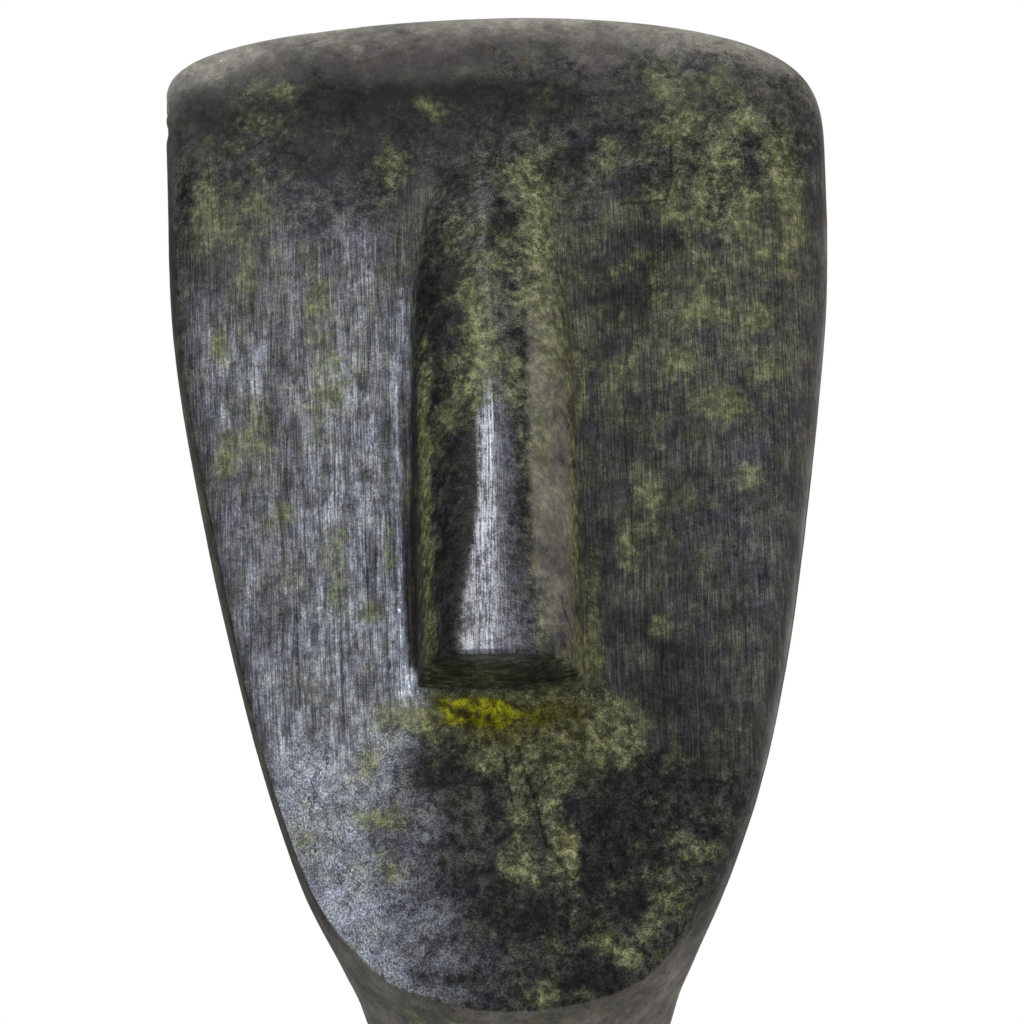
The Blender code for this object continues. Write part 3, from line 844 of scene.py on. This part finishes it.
def add(tree, kind, feeds=(), **settings):
    # a node with its settings and its feeds: a socket is linked, a number is written in
    node = tree.nodes.new(kind)
    for key, setting in settings.items():
        setattr(node, key, setting)
    for key, feed in dict(feeds).items():
        if isinstance(feed, bpy.types.NodeSocket):
            tree.links.new(feed, node.inputs[key])
        else:
            node.inputs[key].default_value = feed
    return node


def put(kind, feeds, **settings):
    # the same in the tree that the feeds come from
    trees = [feed.id_data for feed in feeds.values() if isinstance(feed, bpy.types.NodeSocket)]
    return add(trees[0], kind, feeds, **settings)


def join(value, socket):
    value.id_data.links.new(value, socket)


def calc(operation, a, b=0.0, clamp=False):
    return put("ShaderNodeMath", {0: a, 1: b}, operation=operation, use_clamp=clamp).outputs[0]


def times(a, b, clamp=False):
    return calc("MULTIPLY", a, b, clamp)


def plus(a, b):
    return calc("ADD", a, b)


def minus(a, b):
    return calc("SUBTRACT", a, b)


def greater(a, b):
    return calc("MAXIMUM", a, b)


def vectorCalc(operation, a, b):
    return put("ShaderNodeVectorMath", {0: a, 1: b}, operation=operation).outputs[0]


def fade(value, low, high, start=0.0, end=1.0):
    feeds = {"Value": value, "From Min": low, "From Max": high, "To Min": start, "To Max": end}
    return put("ShaderNodeMapRange", feeds, interpolation_type="SMOOTHSTEP").outputs[0]


def noise(vector, scale, detail=2.0, roughness=0.5):
    feeds = {"Vector": vector, "Scale": scale, "Detail": detail, "Roughness": roughness}
    return put("ShaderNodeTexNoise", feeds).outputs[0]


def reliefTree(finish):
    tree = bpy.data.node_groups.new("castRelief", "GeometryNodeTree")
    tree.interface.new_socket("Geometry", in_out="INPUT", socket_type="NodeSocketGeometry")
    for key, value in reliefForm.items():
        kind = "NodeSocketInt" if key == "Seed" else "NodeSocketFloat"
        tree.interface.new_socket(key, in_out="INPUT", socket_type=kind).default_value = value
    tree.interface.new_socket("Geometry", in_out="OUTPUT", socket_type="NodeSocketGeometry")
    given = tree.nodes.new("NodeGroupInput").outputs
    place = add(tree, "GeometryNodeInputPosition").outputs[0]
    normal = add(tree, "GeometryNodeInputNormal").outputs[0]

    def mark(name):
        node = add(tree, "GeometryNodeInputNamedAttribute", {"Name": name}, data_type="FLOAT")
        return node.outputs["Attribute"]

    def layer(vector, size, depth, detail=1.0, roughness=0.5):
        perMetre = calc("DIVIDE", 1.0, given[size])
        return times(noise(vector, perMetre, detail, roughness), given[depth])

    castSkin, filed = mark("castSkin"), mark("filed")
    hollows = layer(place, "Hollow size", "Hollow depth")
    drawn = vectorCalc("MULTIPLY", place, (1.0, 0.0, 0.07))
    strokes = times(layer(drawn, "Stroke width", "Stroke depth"), filed)
    grain = layer(place, "Grain size", "Grain depth", 2.0, 0.6)
    grain = times(grain, minus(1.0, filed))

    spread = {"Mesh": given["Geometry"], "Density": given["Pits"], "Seed": given["Seed"]}
    pits = put("GeometryNodeDistributePointsOnFaces", spread, distribute_method="RANDOM")
    near = put("GeometryNodeProximity", {0: pits.outputs["Points"]}, target_element="POINTS")
    hole = fade(near.outputs["Distance"], 0.0, given["Pit radius"], 1.0, 0.0)
    hole = times(times(hole, given["Pit depth"]), castSkin)

    depth = plus(plus(hollows, strokes), plus(grain, hole))
    down = times(depth, -1.0)
    offset = put("ShaderNodeVectorMath", {0: normal, "Scale": down}, operation="SCALE").outputs[0]
    moved = put("GeometryNodeSetPosition", {"Geometry": given["Geometry"], "Offset": offset})
    real = put("GeometryNodeRealizeInstances", {"Geometry": moved.outputs[0]})
    done = put("GeometryNodeSetMaterial", {"Geometry": real.outputs[0], "Material": finish})
    out = tree.nodes.new("NodeGroupOutput")
    join(done.outputs[0], out.inputs["Geometry"])
    return tree


def addRelief(obj, finish):
    tree = reliefTree(finish)
    change = obj.modifiers.new("castRelief", "NODES")
    change.node_group = tree
    for item in tree.interface.items_tree:
        if item.in_out == "INPUT" and item.name in reliefForm:
            change[item.identifier] = reliefForm[item.name]
    scene = bpy.context.evaluated_depsgraph_get()
    plain = bpy.data.meshes.new_from_object(obj.evaluated_get(scene), depsgraph=scene)
    obj.modifiers.remove(change)
    plain.name = obj.name
    obj.data = plain
    plain.shade_smooth()


def mixValues(amount, a, b):
    return put("ShaderNodeMix", {0: amount, 2: a, 3: b}).outputs[0]


def useGroup(group, feeds):
    return put("ShaderNodeGroup", feeds, node_tree=group).outputs


def newMaterial(name):
    made = bpy.data.materials.new(name)
    made.use_nodes = True
    return made, made.node_tree, made.node_tree.nodes["Principled BSDF"]


def newGroup(name, given, made):
    # a shader node group with named inputs and outputs
    tree = bpy.data.node_groups.new(name, "ShaderNodeTree")
    for key, value in given.items():
        kind = "NodeSocketFloat" if isinstance(value, float) else "NodeSocketVector"
        socket = tree.interface.new_socket(key, in_out="INPUT", socket_type=kind)
        if isinstance(value, float):
            socket.default_value = value
    for key in made:
        tree.interface.new_socket(key, in_out="OUTPUT", socket_type="NodeSocketFloat")
    return tree, tree.nodes.new("NodeGroupInput").outputs, tree.nodes.new("NodeGroupOutput").inputs


# each kind of file mark: which density it takes, how much it is drawn out down the face, shift,
# detail, roughness, and from where to where in the noise it shows
fileKinds = {
    "Grooves": ("Grooves per metre", 0.022, 0.0, 2.0, 0.6, 0.46, 0.34),
    "Lines": ("Lines per metre", 0.055, 0.3, 1.0, 0.6, 0.36, 0.64),
    "Scratches": ("Lines per metre", 0.022, 0.7, 0.0, 0.5, 0.64, 0.76),
    "Sparkle": ("Lines per metre", 0.450, 0.9, 0.0, 0.5, 0.60, 0.76),
    "Bundles": ("Bundles per metre", 0.240, 0.5, 3.0, 0.65, 0.36, 0.64),
}


def fileMarksGroup():
    # what a file leaves: deep grooves, fine lines and bright scratches, all down the surface
    given = {"Place": None, "Grooves per metre": 3000.0, "Lines per metre": 6500.0}
    given.update({"Bundles per metre": 800.0, "Sways per metre": 90.0, "Waver": 0.0005})
    tree, given, made = newGroup("fileMarks", given, ["Height", *fileKinds])
    sway = minus(noise(given["Place"], given["Sways per metre"], 1.0), 0.5)
    parts = put("ShaderNodeSeparateXYZ", {0: given["Place"]}).outputs
    swayed = plus(parts[0], times(sway, given["Waver"]))
    noises = {}
    for kind, (density, run, shift, detail, roughness, low, high) in fileKinds.items():
        down = times(parts[2], run)
        drawn = put("ShaderNodeCombineXYZ", {0: swayed, 1: shift, 2: down}).outputs[0]
        noises[kind] = noise(drawn, given[density], detail, roughness)
        join(fade(noises[kind], low, high), made[kind])
    height = plus(times(noises["Grooves"], 0.6), times(noises["Lines"], 0.4))
    join(height, made["Height"])
    return tree


# the cast skin: how near a cell's middle its pinhole or glint shows, how few cells have one, cracks
grainForm = {
    "pinhole": (0.06, 0.15),
    "pinholesFrom": 0.86,
    "glint": (0.03, 0.09),
    "glintsTo": 0.05,
    "grain": (0.30, 0.70),
    "specks": (0.32, 0.68),
    "crackDraw": (1.0, 1.0, 0.55),
    "cracksPerMetre": 330.0,
    "crackWidth": 0.024,
    "crackDepth": 1.5,
    "crackAreas": (0.46, 0.60),
}


def castGrainGroup():
    # the fine sandy skin of a casting, with specks and pinholes
    form = grainForm
    given = {"Place": None, "Grains per metre": 1100.0, "Specks per metre": 6000.0}
    given["Pinholes per metre"] = 620.0
    made = ["Height", "Grain", "Specks", "Pinholes", "Glints", "Cracks"]
    tree, given, made = newGroup("castGrain", given, made)
    place = given["Place"]
    grain = noise(place, given["Grains per metre"], 5.0, 0.72)
    specks = noise(place, given["Specks per metre"], 1.0, 0.6)
    cells = put("ShaderNodeTexVoronoi", {"Vector": place, "Scale": given["Pinholes per metre"]}).outputs
    rare = put("ShaderNodeSeparateColor", {0: cells["Color"]}).outputs[0]
    hole = fade(cells["Distance"], *form["pinhole"], 1.0, 0.0)
    hole = times(hole, calc("GREATER_THAN", rare, form["pinholesFrom"]))
    glint = fade(cells["Distance"], *form["glint"], 1.0, 0.0)
    glint = times(glint, calc("LESS_THAN", rare, form["glintsTo"]))
    drawn = vectorCalc("MULTIPLY", place, form["crackDraw"])
    ridge = minus(noise(drawn, form["cracksPerMetre"], 4.0, 0.58), 0.5)
    crack = fade(calc("ABSOLUTE", ridge), 0.0, form["crackWidth"], 1.0, 0.0)
    areas = fade(noise(place, 150.0, 1.0), *form["crackAreas"])
    crack = times(crack, areas)
    height = plus(grain, times(specks, 0.5))
    height = minus(height, times(crack, form["crackDepth"]))
    ends = {"Height": minus(height, hole), "Grain": fade(grain, *form["grain"])}
    ends.update({"Specks": fade(specks, *form["specks"]), "Glints": glint})
    ends.update({"Cracks": crack, "Pinholes": hole})
    for key, end in ends.items():
        join(end, made[key])
    return tree


def brokenPatchGroup():
    # a soft mask broken into blotches and specks, drawn out along the file marks where it is filed
    given = {"Mask": 0.5, "Filed": 0.0, "Place": None, "Blotches per metre": 420.0}
    given.update({"Specks per metre": 2300.0, "Break up": 2.0})
    tree, given, made = newGroup("brokenPatch", given, ["Patch"])
    drawn = vectorCalc("MULTIPLY", given["Place"], (1.0, 0.2, 0.16))
    blotch = noise(given["Place"], given["Blotches per metre"], 5.0, 0.68)
    speck = noise(given["Place"], given["Specks per metre"], 1.0)
    streak = noise(drawn, given["Specks per metre"], 1.0)
    speck = mixValues(times(given["Filed"], 0.5), speck, streak)
    both = plus(times(blotch, 0.86), times(speck, 0.14))
    swing = times(minus(both, 0.5), given["Break up"])
    join(fade(plus(given["Mask"], swing), 0.14, 0.96), made["Patch"])
    return tree


def lineMarkGroup():
    # one thin crack or scratch on the front, from one place to another
    given = {"Place": None, "Start": None, "End": None, "Half width": 0.0001, "Waver": 0.0006}
    tree, given, made = newGroup("lineMark", given, ["Line"])
    sway = minus(noise(given["Place"], 900.0, 3.0, 0.7), 0.5)
    sway = times(sway, given["Waver"])
    sway = put("ShaderNodeCombineXYZ", {0: sway, 2: sway}).outputs[0]
    flat = vectorCalc("MULTIPLY", vectorCalc("ADD", given["Place"], sway), (1.0, 0.0, 1.0))
    run = vectorCalc("SUBTRACT", given["End"], given["Start"])
    away = vectorCalc("SUBTRACT", flat, given["Start"])
    dots = []
    for a in (away, run):
        dot = put("ShaderNodeVectorMath", {0: a, 1: run}, operation="DOT_PRODUCT")
        dots.append(dot.outputs["Value"])
    part = calc("DIVIDE", dots[0], dots[1], clamp=True)
    nearest = put("ShaderNodeVectorMath", {0: run, "Scale": part}, operation="SCALE").outputs[0]
    gap = vectorCalc("SUBTRACT", away, nearest)
    gap = put("ShaderNodeVectorMath", {0: gap}, operation="LENGTH").outputs["Value"]
    line = fade(gap, 0.0, given["Half width"], 1.0, 0.0)
    depth = put("ShaderNodeSeparateXYZ", {0: given["Place"]}).outputs[1]
    join(times(line, fade(depth, 0.008, 0.012, 1.0, 0.0)), made["Line"])
    return tree


# fine cracks, and scratches with painted highlight lines, on the face: x and z of both ends and half
# width, in millimetres
fineCracks = [
    (17.5, 112.3, 17.4, 107.7, 0.24), (17.4, 107.7, 16.7, 106, 0.26), (16.7, 106, 12.4, 105.8, 0.22),
    (-9.8, 104.5, -10.2, 99.5, 0.22), (1.9, 47.5, 3, 43.2, 0.34), (3, 43.2, 5.5, 39.3, 0.34),
    (-19.6, 122.9, -17.6, 123.5, 0.14), (0.5, 52.4, 1.9, 47.5, 0.28), (3, 52.4, 3.4, 49.2, 0.24),
    (3.4, 49.2, 1.9, 47.5, 0.24), (-0.9, 52, -0.3, 47.2, 0.2), (-0.3, 47.2, 0.9, 44.6, 0.18),
    (12.1, 85.5, 12, 76, 0.13), (12.4, 77, 12.3, 68, 0.12), (15, 67, 14.9, 57.5, 0.13),
    (-16.6, 70, -16.5, 55, 0.12), (-12, 66, -11.9, 55, 0.12), (-22.4, 71, -22.3, 58, 0.1),
    (-20.9, 67, -20.8, 56.5, 0.12), (-13.9, 75, -13.8, 66, 0.1), (-21.6, 86, -21.5, 77, 0.11),
]
# bright lines: scratches, and painted highlights along the lip left of the nose and on the crust under it
scratchesAndHighlights = [
    (-10.9, 103.5, -9.6, 103, 0.11), (-9.6, 103, -9.6, 99.5, 0.09), (13.4, 51.6, 19.8, 48.6, 0.11),
    (12.8, 71, 12.7, 60, 0.1), (15.7, 69, 15.6, 57, 0.09), (-10.7, 73, -10.8, 66, 0.26),
    (-10.8, 66, -10.5, 60.5, 0.34), (-10.5, 60.5, -9.8, 57.4, 0.36), (-10.5, 88, -10.6, 80, 0.2),
    (-11.4, 56.3, -9.3, 56, 0.9), (7.7, 54.3, 8.6, 52.4, 0.8), (-6.8, 56.2, -5.6, 55.8, 0.45),
    (0.2, 53.8, 1.6, 52.4, 0.8), (4.4, 53.6, 5.6, 52.8, 0.7), (-3, 50.8, -2.2, 49.6, 0.5),
]

bronzeFinish = {
    "filedColour": (0.0240, 0.0216, 0.0242),
    "chinColour": (0.0108, 0.0110, 0.0130),
    "castColour": (0.043, 0.039, 0.038),
    # pale skin, also used for painted light and for the painted reflection on the rim
    "paleAndLitColour": (0.205, 0.195, 0.172),
    # wear and painted sheen, bright and bluish
    "wearAndSheenColour": (0.158, 0.168, 0.205),
    # the polished ridge, painted bright as its highlight
    "burnishedColour": (0.075, 0.078, 0.092),
    "greenColour": (0.066, 0.071, 0.039),
    "greenPale": (0.162, 0.169, 0.082),
    "creviceColour": (0.36, 0.36, 0.014),
    "creviceDark": (0.070, 0.066, 0.012),
    "stainColour": (0.047, 0.049, 0.034),
    # dark wax, also used for painted shade
    "waxColour": (0.0085, 0.0078, 0.0082),
    "filedRough": 0.46,
    "castRough": 0.66,
    "burnishedRough": 0.30,
    "greenRough": 0.75,
    "crackShade": 0.36,  # how much darker a crack, and brighter a scratch or painted highlight line, is than its surroundings
    "scratchAndHighlightShade": 1.9,
    "shine": 0.08,  # how much the plain surface reflects
    "sheenRough": 0.27,
    "fileDepth": 0.000040,
    "grainDepth": 0.000012,
    "crustDepth": 0.000150,
    "crustGrains": 1100.0,  # for each metre
    "thickDeposit": (0.45, 0.95),  # where in its mask the yellow deposit turns thick
    "depositEnds": (-0.0005, 0.0030),  # where it thins out, across the face
}


def mixColours(amount, a, b, blend="MIX"):
    a, b = ((*colour, 1.0) if isinstance(colour, tuple) else colour for colour in (a, b))
    feeds = {"Factor": amount, 6: a, 7: b}
    return put("ShaderNodeMix", feeds, data_type="RGBA", blend_type=blend).outputs[2]


# clouds in the patina: how many to the metre, detail, roughness, from where to where, swing
patinaClouds = {
    "sheen": (260.0, 4.0, 0.65, 0.36, 0.64),
    "dulled": (330.0, 4.0, 0.65, 0.44, 0.66),
    "tone": (150.0, 4.0, 0.6, 0.34, 0.66, 0.80, 1.24),
    "pale": (420.0, 4.0, 0.65, 0.34, 0.62, 0.70, 1.0),
    "stain": (330.0, 4.0, 0.65, 0.42, 0.64),
    "paleGreen": (1200.0, 4.0, 0.68, 0.41, 0.65),
    "deposit": (620.0, 3.0, 0.6, 0.37, 0.56),
    "gloss": (240.0, 2.0, 0.5, 0.35, 0.65, -0.05, 0.07),
}

# how each thing changes the tone: a pair is its darkest and brightest, one number its strength
toneSwing = {
    # how the wear and painted sheen swing on filed and on cast skin
    "filedWearAndSheen": (0.45, 1.45),
    "castWearAndSheen": (0.66, 1.28),
    "lines": (0.66, 1.34),
    "specks": (0.50, 1.56),
    "grit": (0.28, 1.80),
    "softSand": (0.86, 1.22),
    "specksOnLines": (0.76, 1.28),
    "gritOnLines": (0.74, 1.30),
    "crust": (0.62, 1.40),
    "groove": 0.72,  # the tone in a groove, in a groove with wear and painted sheen, and between grooves
    "grooveInWearAndSheen": 0.45,
    "betweenGrooves": 1.06,
    "scratches": 0.9,
    "sparkle": 1.1,
    "dullSparkle": 0.15,  # the part of it left where there is neither wear nor painted sheen
    "glints": 2.0,
    "pinholes": 0.35,
    "crustCracks": 0.44,
}


# how much of each finish comes through, and where it does
patinaParts = {
    # how much wear and painted sheen is left under the dark wax and painted shade
    "wearAndSheenUnderWaxAndShade": 0.12,
    "dulledCast": 0.34,  # green in the places of wear and painted sheen
    "dulledFiled": 0.20,
    "sandUnderWearAndSheen": 0.85,  # how much of the sand is smoothed away under the wear and painted sheen
    "crustCast": 0.55,
    "crustCrevice": 0.8,
    "stainCast": 0.50,
    "stainFiled": 0.60,
    # stain where there is wear and painted sheen
    "stainOnWearAndSheen": 0.25,
    # dark wax and painted shade
    "wax": 0.9,
    "green": 0.80,
    "deposit": 0.9,
    "thinDeposit": 0.15,
    "depositRight": 0.12,
    "reliefFiled": 0.35,  # how much of the cast grain is left under the file marks
}


def cloudy(place, kind):
    perMetre, detail, roughness, *span = patinaClouds[kind]
    return fade(noise(place, perMetre, detail, roughness), *span)


def swing(value, kind):
    return fade(value, 0.0, 1.0, *toneSwing[kind])


def patinaMasks(tree, place):
    # where each finish lies, broken up as patina breaks
    def mark(name):
        return add(tree, "ShaderNodeAttribute", attribute_name=name).outputs["Fac"]

    at = SimpleNamespace(place=place)
    filed, at.burnished, castSkin = mark("filed"), mark("burnished"), mark("castSkin")
    at.files = useGroup(fileMarksGroup(), {"Place": place})
    at.grain = useGroup(castGrainGroup(), {"Place": place})
    brokenPatch = brokenPatchGroup()

    def patch(mask, **sizes):
        feeds = {"Mask": mask, "Filed": filed, "Place": place}
        feeds.update({key.replace("_", " "): size for key, size in sizes.items()})
        return useGroup(brokenPatch, feeds)["Patch"]

    at.filed = patch(filed, Break_up=1.3)
    at.cast = patch(castSkin, Break_up=1.5)
    at.pale = patch(mark("paleSkinAndLight"), Break_up=0.7)
    at.green = patch(mark("greenPatina"))
    # dark wax, with painted shade under the nose, on its left flank, down the left side and in the left
    # crease
    at.wax = patch(mark("darkWaxAndShade"), Blotches_per_metre=260.0, Break_up=1.6)
    at.crevice = patch(mark("crevice"), Blotches_per_metre=560.0, Break_up=2.2)
    at.marked = greater(at.filed, at.burnished)

    # the wear and painted sheen come and go in bundles of file marks, or in clouds on the rest
    broken = mixValues(at.filed, cloudy(place, "sheen"), at.files["Bundles"])
    wearAndSheenBreakup = mixValues(at.filed, swing(broken, "castWearAndSheen"), swing(broken, "filedWearAndSheen"))
    worn = times(mark("worn"), wearAndSheenBreakup)
    at.worn = times(worn, fade(at.wax, 0.0, 1.0, 1.0, patinaParts["wearAndSheenUnderWaxAndShade"]), clamp=True)
    dulled = cloudy(place, "dulled")
    part = mixValues(at.filed, patinaParts["dulledCast"], patinaParts["dulledFiled"])
    at.dulled = times(dulled, part)
    return at


def patinaTone(at):
    # light and dark at the finest sizes, one line group for each crack, scratch and painted highlight
    # line
    look, part, grain = toneSwing, patinaParts, at.grain
    cloud = cloudy(at.place, "tone")
    lines = swing(at.files["Lines"], "lines")
    grooves = mixValues(at.worn, look["groove"], look["grooveInWearAndSheen"])
    lines = times(lines, mixValues(at.files["Grooves"], look["betweenGrooves"], grooves))
    lines = plus(lines, times(at.files["Scratches"], look["scratches"]))
    specks = swing(grain["Specks"], "specks")
    grit = swing(grain["Grain"], "grit")
    sand = times(grit, specks)
    softSand = fade(sand, 0.2, 2.2, *look["softSand"])
    sand = mixValues(times(at.worn, part["sandUnderWearAndSheen"]), sand, specks)
    sand = mixValues(at.cast, sand, softSand)
    lines = times(lines, fade(specks, *look["specks"], *look["specksOnLines"]))
    lines = times(lines, fade(grit, *look["grit"], *look["gritOnLines"]))
    tone = mixValues(at.marked, sand, lines)
    sparkle = times(at.files["Sparkle"], mixValues(at.worn, look["dullSparkle"], 1.0))
    tone = plus(tone, times(sparkle, look["sparkle"]))
    holes = mixValues(grain["Pinholes"], 1.0, look["pinholes"])
    tone = times(tone, times(cloud, holes))
    bare = minus(1.0, greater(at.marked, at.cast))
    crusted = times(grain["Cracks"], bare)
    lineMark = lineMarkGroup()

    def drawLines(tone, drawn, shade):
        for x, z, endX, endZ, half in drawn:
            feeds = {"Place": at.place, "Start": (x / 1000, 0, z / 1000)}
            feeds.update({"End": (endX / 1000, 0, endZ / 1000), "Half width": half / 1000})
            line = useGroup(lineMark, feeds)["Line"]
            tone = times(tone, mixValues(line, 1.0, shade))
        return tone

    # scratches and painted highlight lines
    tone = drawLines(tone, scratchesAndHighlights, bronzeFinish["scratchAndHighlightShade"])
    tone = times(tone, mixValues(crusted, 1.0, look["crustCracks"]))
    soft = fade(tone, 0.3, 1.7, *look["crust"])
    crusty = times(at.green, mixValues(at.filed, part["crustCast"], 1.0))
    crusty = greater(crusty, times(at.crevice, part["crustCrevice"]))
    tone = mixValues(crusty, tone, soft)
    tone = drawLines(tone, fineCracks, bronzeFinish["crackShade"])
    return plus(tone, times(grain["Glints"], look["glints"]))


def patinaColour(at, tone):
    look, part = bronzeFinish, patinaParts
    colour = mixColours(at.filed, look["chinColour"], look["filedColour"])
    colour = mixColours(at.cast, colour, look["castColour"])
    # pale skin, with painted light on the right of the nose and on the neck and a painted reflection on
    # the crown's rim
    pale = mixColours(cloudy(at.place, "pale"), look["castColour"], look["paleAndLitColour"])
    colour = mixColours(at.pale, colour, pale)
    stain = cloudy(at.place, "stain")
    plain = mixValues(at.filed, part["stainCast"], part["stainFiled"])
    cleaner = greater(at.cast, at.worn)
    stain = times(stain, mixValues(cleaner, plain, part["stainOnWearAndSheen"]))
    colour = mixColours(stain, colour, look["stainColour"])
    # painted highlight on the polished ridge
    colour = mixColours(at.burnished, colour, look["burnishedColour"])
    # wear and painted sheen
    colour = mixColours(at.worn, colour, look["wearAndSheenColour"])
    colour = mixColours(times(at.dulled, at.worn), colour, look["greenPale"])
    # dark wax and painted shade
    colour = mixColours(times(at.wax, part["wax"]), colour, look["waxColour"])
    greens = cloudy(at.place, "paleGreen")
    greens = mixColours(greens, look["greenColour"], look["greenPale"])
    colour = mixColours(times(at.green, part["green"]), colour, greens)
    thick = cloudy(at.place, "deposit")
    thick = times(thick, fade(at.crevice, *look["thickDeposit"], part["thinDeposit"], 1.0))
    aside = put("ShaderNodeSeparateXYZ", {0: at.place}).outputs[0]
    thick = times(thick, fade(aside, *look["depositEnds"], 1.0, part["depositRight"]))
    deposit = mixColours(thick, look["creviceDark"], look["creviceColour"])
    colour = mixColours(times(at.crevice, part["deposit"]), colour, deposit)
    toned = put("ShaderNodeCombineColor", {0: tone, 1: tone, 2: tone}).outputs[0]
    return mixColours(1.0, colour, toned, "MULTIPLY")


def patinaHeight(at, dull):
    # relief too fine for the mesh
    look = bronzeFinish
    fileHeight = times(at.files["Height"], times(at.marked, look["fileDepth"]))
    crust = noise(at.place, look["crustGrains"], 3.0, 0.6)
    crust = times(crust, times(dull, look["crustDepth"]))
    rest = mixValues(at.marked, 1.0, patinaParts["reliefFiled"])
    grainHeight = times(at.grain["Height"], times(rest, look["grainDepth"]))
    height = plus(crust, plus(fileHeight, grainHeight))
    return put("ShaderNodeBump", {"Height": height, "Distance": 1.0, "Strength": 1.0}).outputs[0]


def patinatedBronze():
    look = bronzeFinish
    made, tree, shader = newMaterial("patinated_bronze")
    at = patinaMasks(tree, add(tree, "ShaderNodeTexCoord").outputs["Object"])
    tone = patinaTone(at)
    join(patinaColour(at, tone), shader.inputs["Base Color"])

    # gloss
    shader.inputs["Specular IOR Level"].default_value = look["shine"]
    rough = mixValues(at.cast, look["filedRough"], look["castRough"])
    rough = mixValues(at.burnished, rough, look["burnishedRough"])
    rough = plus(rough, cloudy(at.place, "gloss"))
    dull = greater(at.green, at.crevice)
    join(mixValues(dull, rough, look["greenRough"]), shader.inputs["Roughness"])
    clean = minus(1.0, dull)
    sheen = times(greater(at.worn, at.burnished), clean)
    sheen = times(sheen, fade(tone, 0.4, 1.7), clamp=True)
    join(sheen, shader.inputs["Coat Weight"])
    shader.inputs["Coat Roughness"].default_value = look["sheenRough"]
    join(patinaHeight(at, dull), shader.inputs["Normal"])
    return made


bronze = patinatedBronze()
addRelief(headCast, bronze)
print("patina and relief made")

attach(headCast, "root")
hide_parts("head")


studio = {
    "cameraDistance": 0.900,
    "frameWidth": 0.1024,
    "roll": math.radians(1.65),
    "aim": (0.0006, 0.003, 0.07541),
    "lightAim": (0, 0, 0.075),
    "sensor": 0.036,
    # direction in degrees round from the front and up, distance, width, height, strength, colour
    "panels": {
        "key": (-26, 47, 0.42, 0.21, 0.25, 11.0, (0.93, 0.96, 1.0)),
        "fill": (80, 22, 0.7, 0.50, 0.60, 3.0, (1.0, 0.97, 0.92)),
    },
    "roomFront": 0.34,  # brightness of the room round the camera and behind the head
    "roomBack": 1.3,
    "roomColour": (1, 0.985, 0.94, 1),
    "floorColour": (0.80, 0.80, 0.79, 1),
    "floorRough": 0.7,
    "floorRadius": 0.40,
    "floorBlend": (0.24, 0.39),
}


def direction(azimuth, elevation):
    a, e = math.radians(azimuth), math.radians(elevation)
    return Vector((math.sin(a) * math.cos(e), -math.cos(a) * math.cos(e), math.sin(e)))


def studioCamera():
    data = bpy.data.cameras.new("camera")
    data.sensor_width = studio["sensor"] * 1000
    distance = studio["cameraDistance"] + studio["aim"][1]
    data.lens = data.sensor_width * distance / studio["frameWidth"]
    data.clip_start, data.clip_end = 0.01, 20
    cam = newObject("camera", data)
    cam.location = (studio["aim"][0], -studio["cameraDistance"], studio["aim"][2])
    cam.rotation_euler = (math.pi / 2, studio["roll"], 0)
    bpy.context.scene.camera = cam


def softPanels():
    target = Vector(studio["lightAim"])
    for name, (azimuth, elevation, distance, width, height, strength, colour) in studio["panels"].items():
        data = bpy.data.lights.new(name, "AREA")
        data.shape = "RECTANGLE"
        data.size, data.size_y = width, height
        data.energy = strength * math.pi * width * height
        data.color = colour
        lamp = newObject(name, data)
        away = direction(azimuth, elevation)
        lamp.location = target + away * distance
        lamp.rotation_euler = (-away).to_track_quat("-Z", "Y").to_euler()
        lamp.visible_camera = False


def paleRoom():
    # a white room: plain white behind the head, dimmer round the camera
    world = bpy.data.worlds.new("paleRoom")
    world.use_nodes = True
    bpy.context.scene.world = world
    tree = world.node_tree
    tree.nodes.clear()
    way = add(tree, "ShaderNodeTexCoord").outputs["Generated"]
    parts = put("ShaderNodeSeparateXYZ", {0: way}).outputs
    back = plus(parts[1], times(calc("MINIMUM", parts[0], 0.0), 0.8))
    glow = fade(back, 0.05, 0.95, studio["roomFront"], studio["roomBack"])
    room = put("ShaderNodeBackground", {"Strength": glow})
    white = add(tree, "ShaderNodeBackground", {"Color": (1, 1, 1, 1)})
    room.inputs["Color"].default_value = studio["roomColour"]
    seen = add(tree, "ShaderNodeLightPath").outputs["Is Camera Ray"]
    mixed = put("ShaderNodeMixShader", {0: seen, 1: room.outputs[0], 2: white.outputs[0]})
    out = add(tree, "ShaderNodeOutputWorld")
    join(mixed.outputs[0], out.inputs["Surface"])


def paleFloor():
    radius = studio["floorRadius"]
    rim = [(radius * math.cos(a), radius * math.sin(a), 0.0) for a in steps(2 * math.pi, 96)]
    mesh = bpy.data.meshes.new("floor")
    mesh.from_pydata(rim, [], [tuple(range(len(rim)))])
    floor = newObject("floor", mesh)
    pale, tree, shader = newMaterial("pale_floor")
    shader.inputs["Base Color"].default_value = studio["floorColour"]
    shader.inputs["Roughness"].default_value = studio["floorRough"]
    place = add(tree, "ShaderNodeTexCoord").outputs["Object"]
    away = put("ShaderNodeVectorMath", {0: place}, operation="LENGTH").outputs["Value"]
    glow = add(tree, "ShaderNodeEmission", {"Color": (1, 1, 1, 1)})
    blend = fade(away, *studio["floorBlend"])
    mixed = put("ShaderNodeMixShader", {0: blend, 1: shader.outputs[0], 2: glow.outputs[0]})
    join(mixed.outputs[0], tree.nodes["Material Output"].inputs["Surface"])
    mesh.materials.append(pale)


studioCamera()
softPanels()
paleRoom()
paleFloor()
bpy.context.scene.view_settings.view_transform = "Standard"
bpy.context.scene.view_settings.look = "None"
print("studio made")
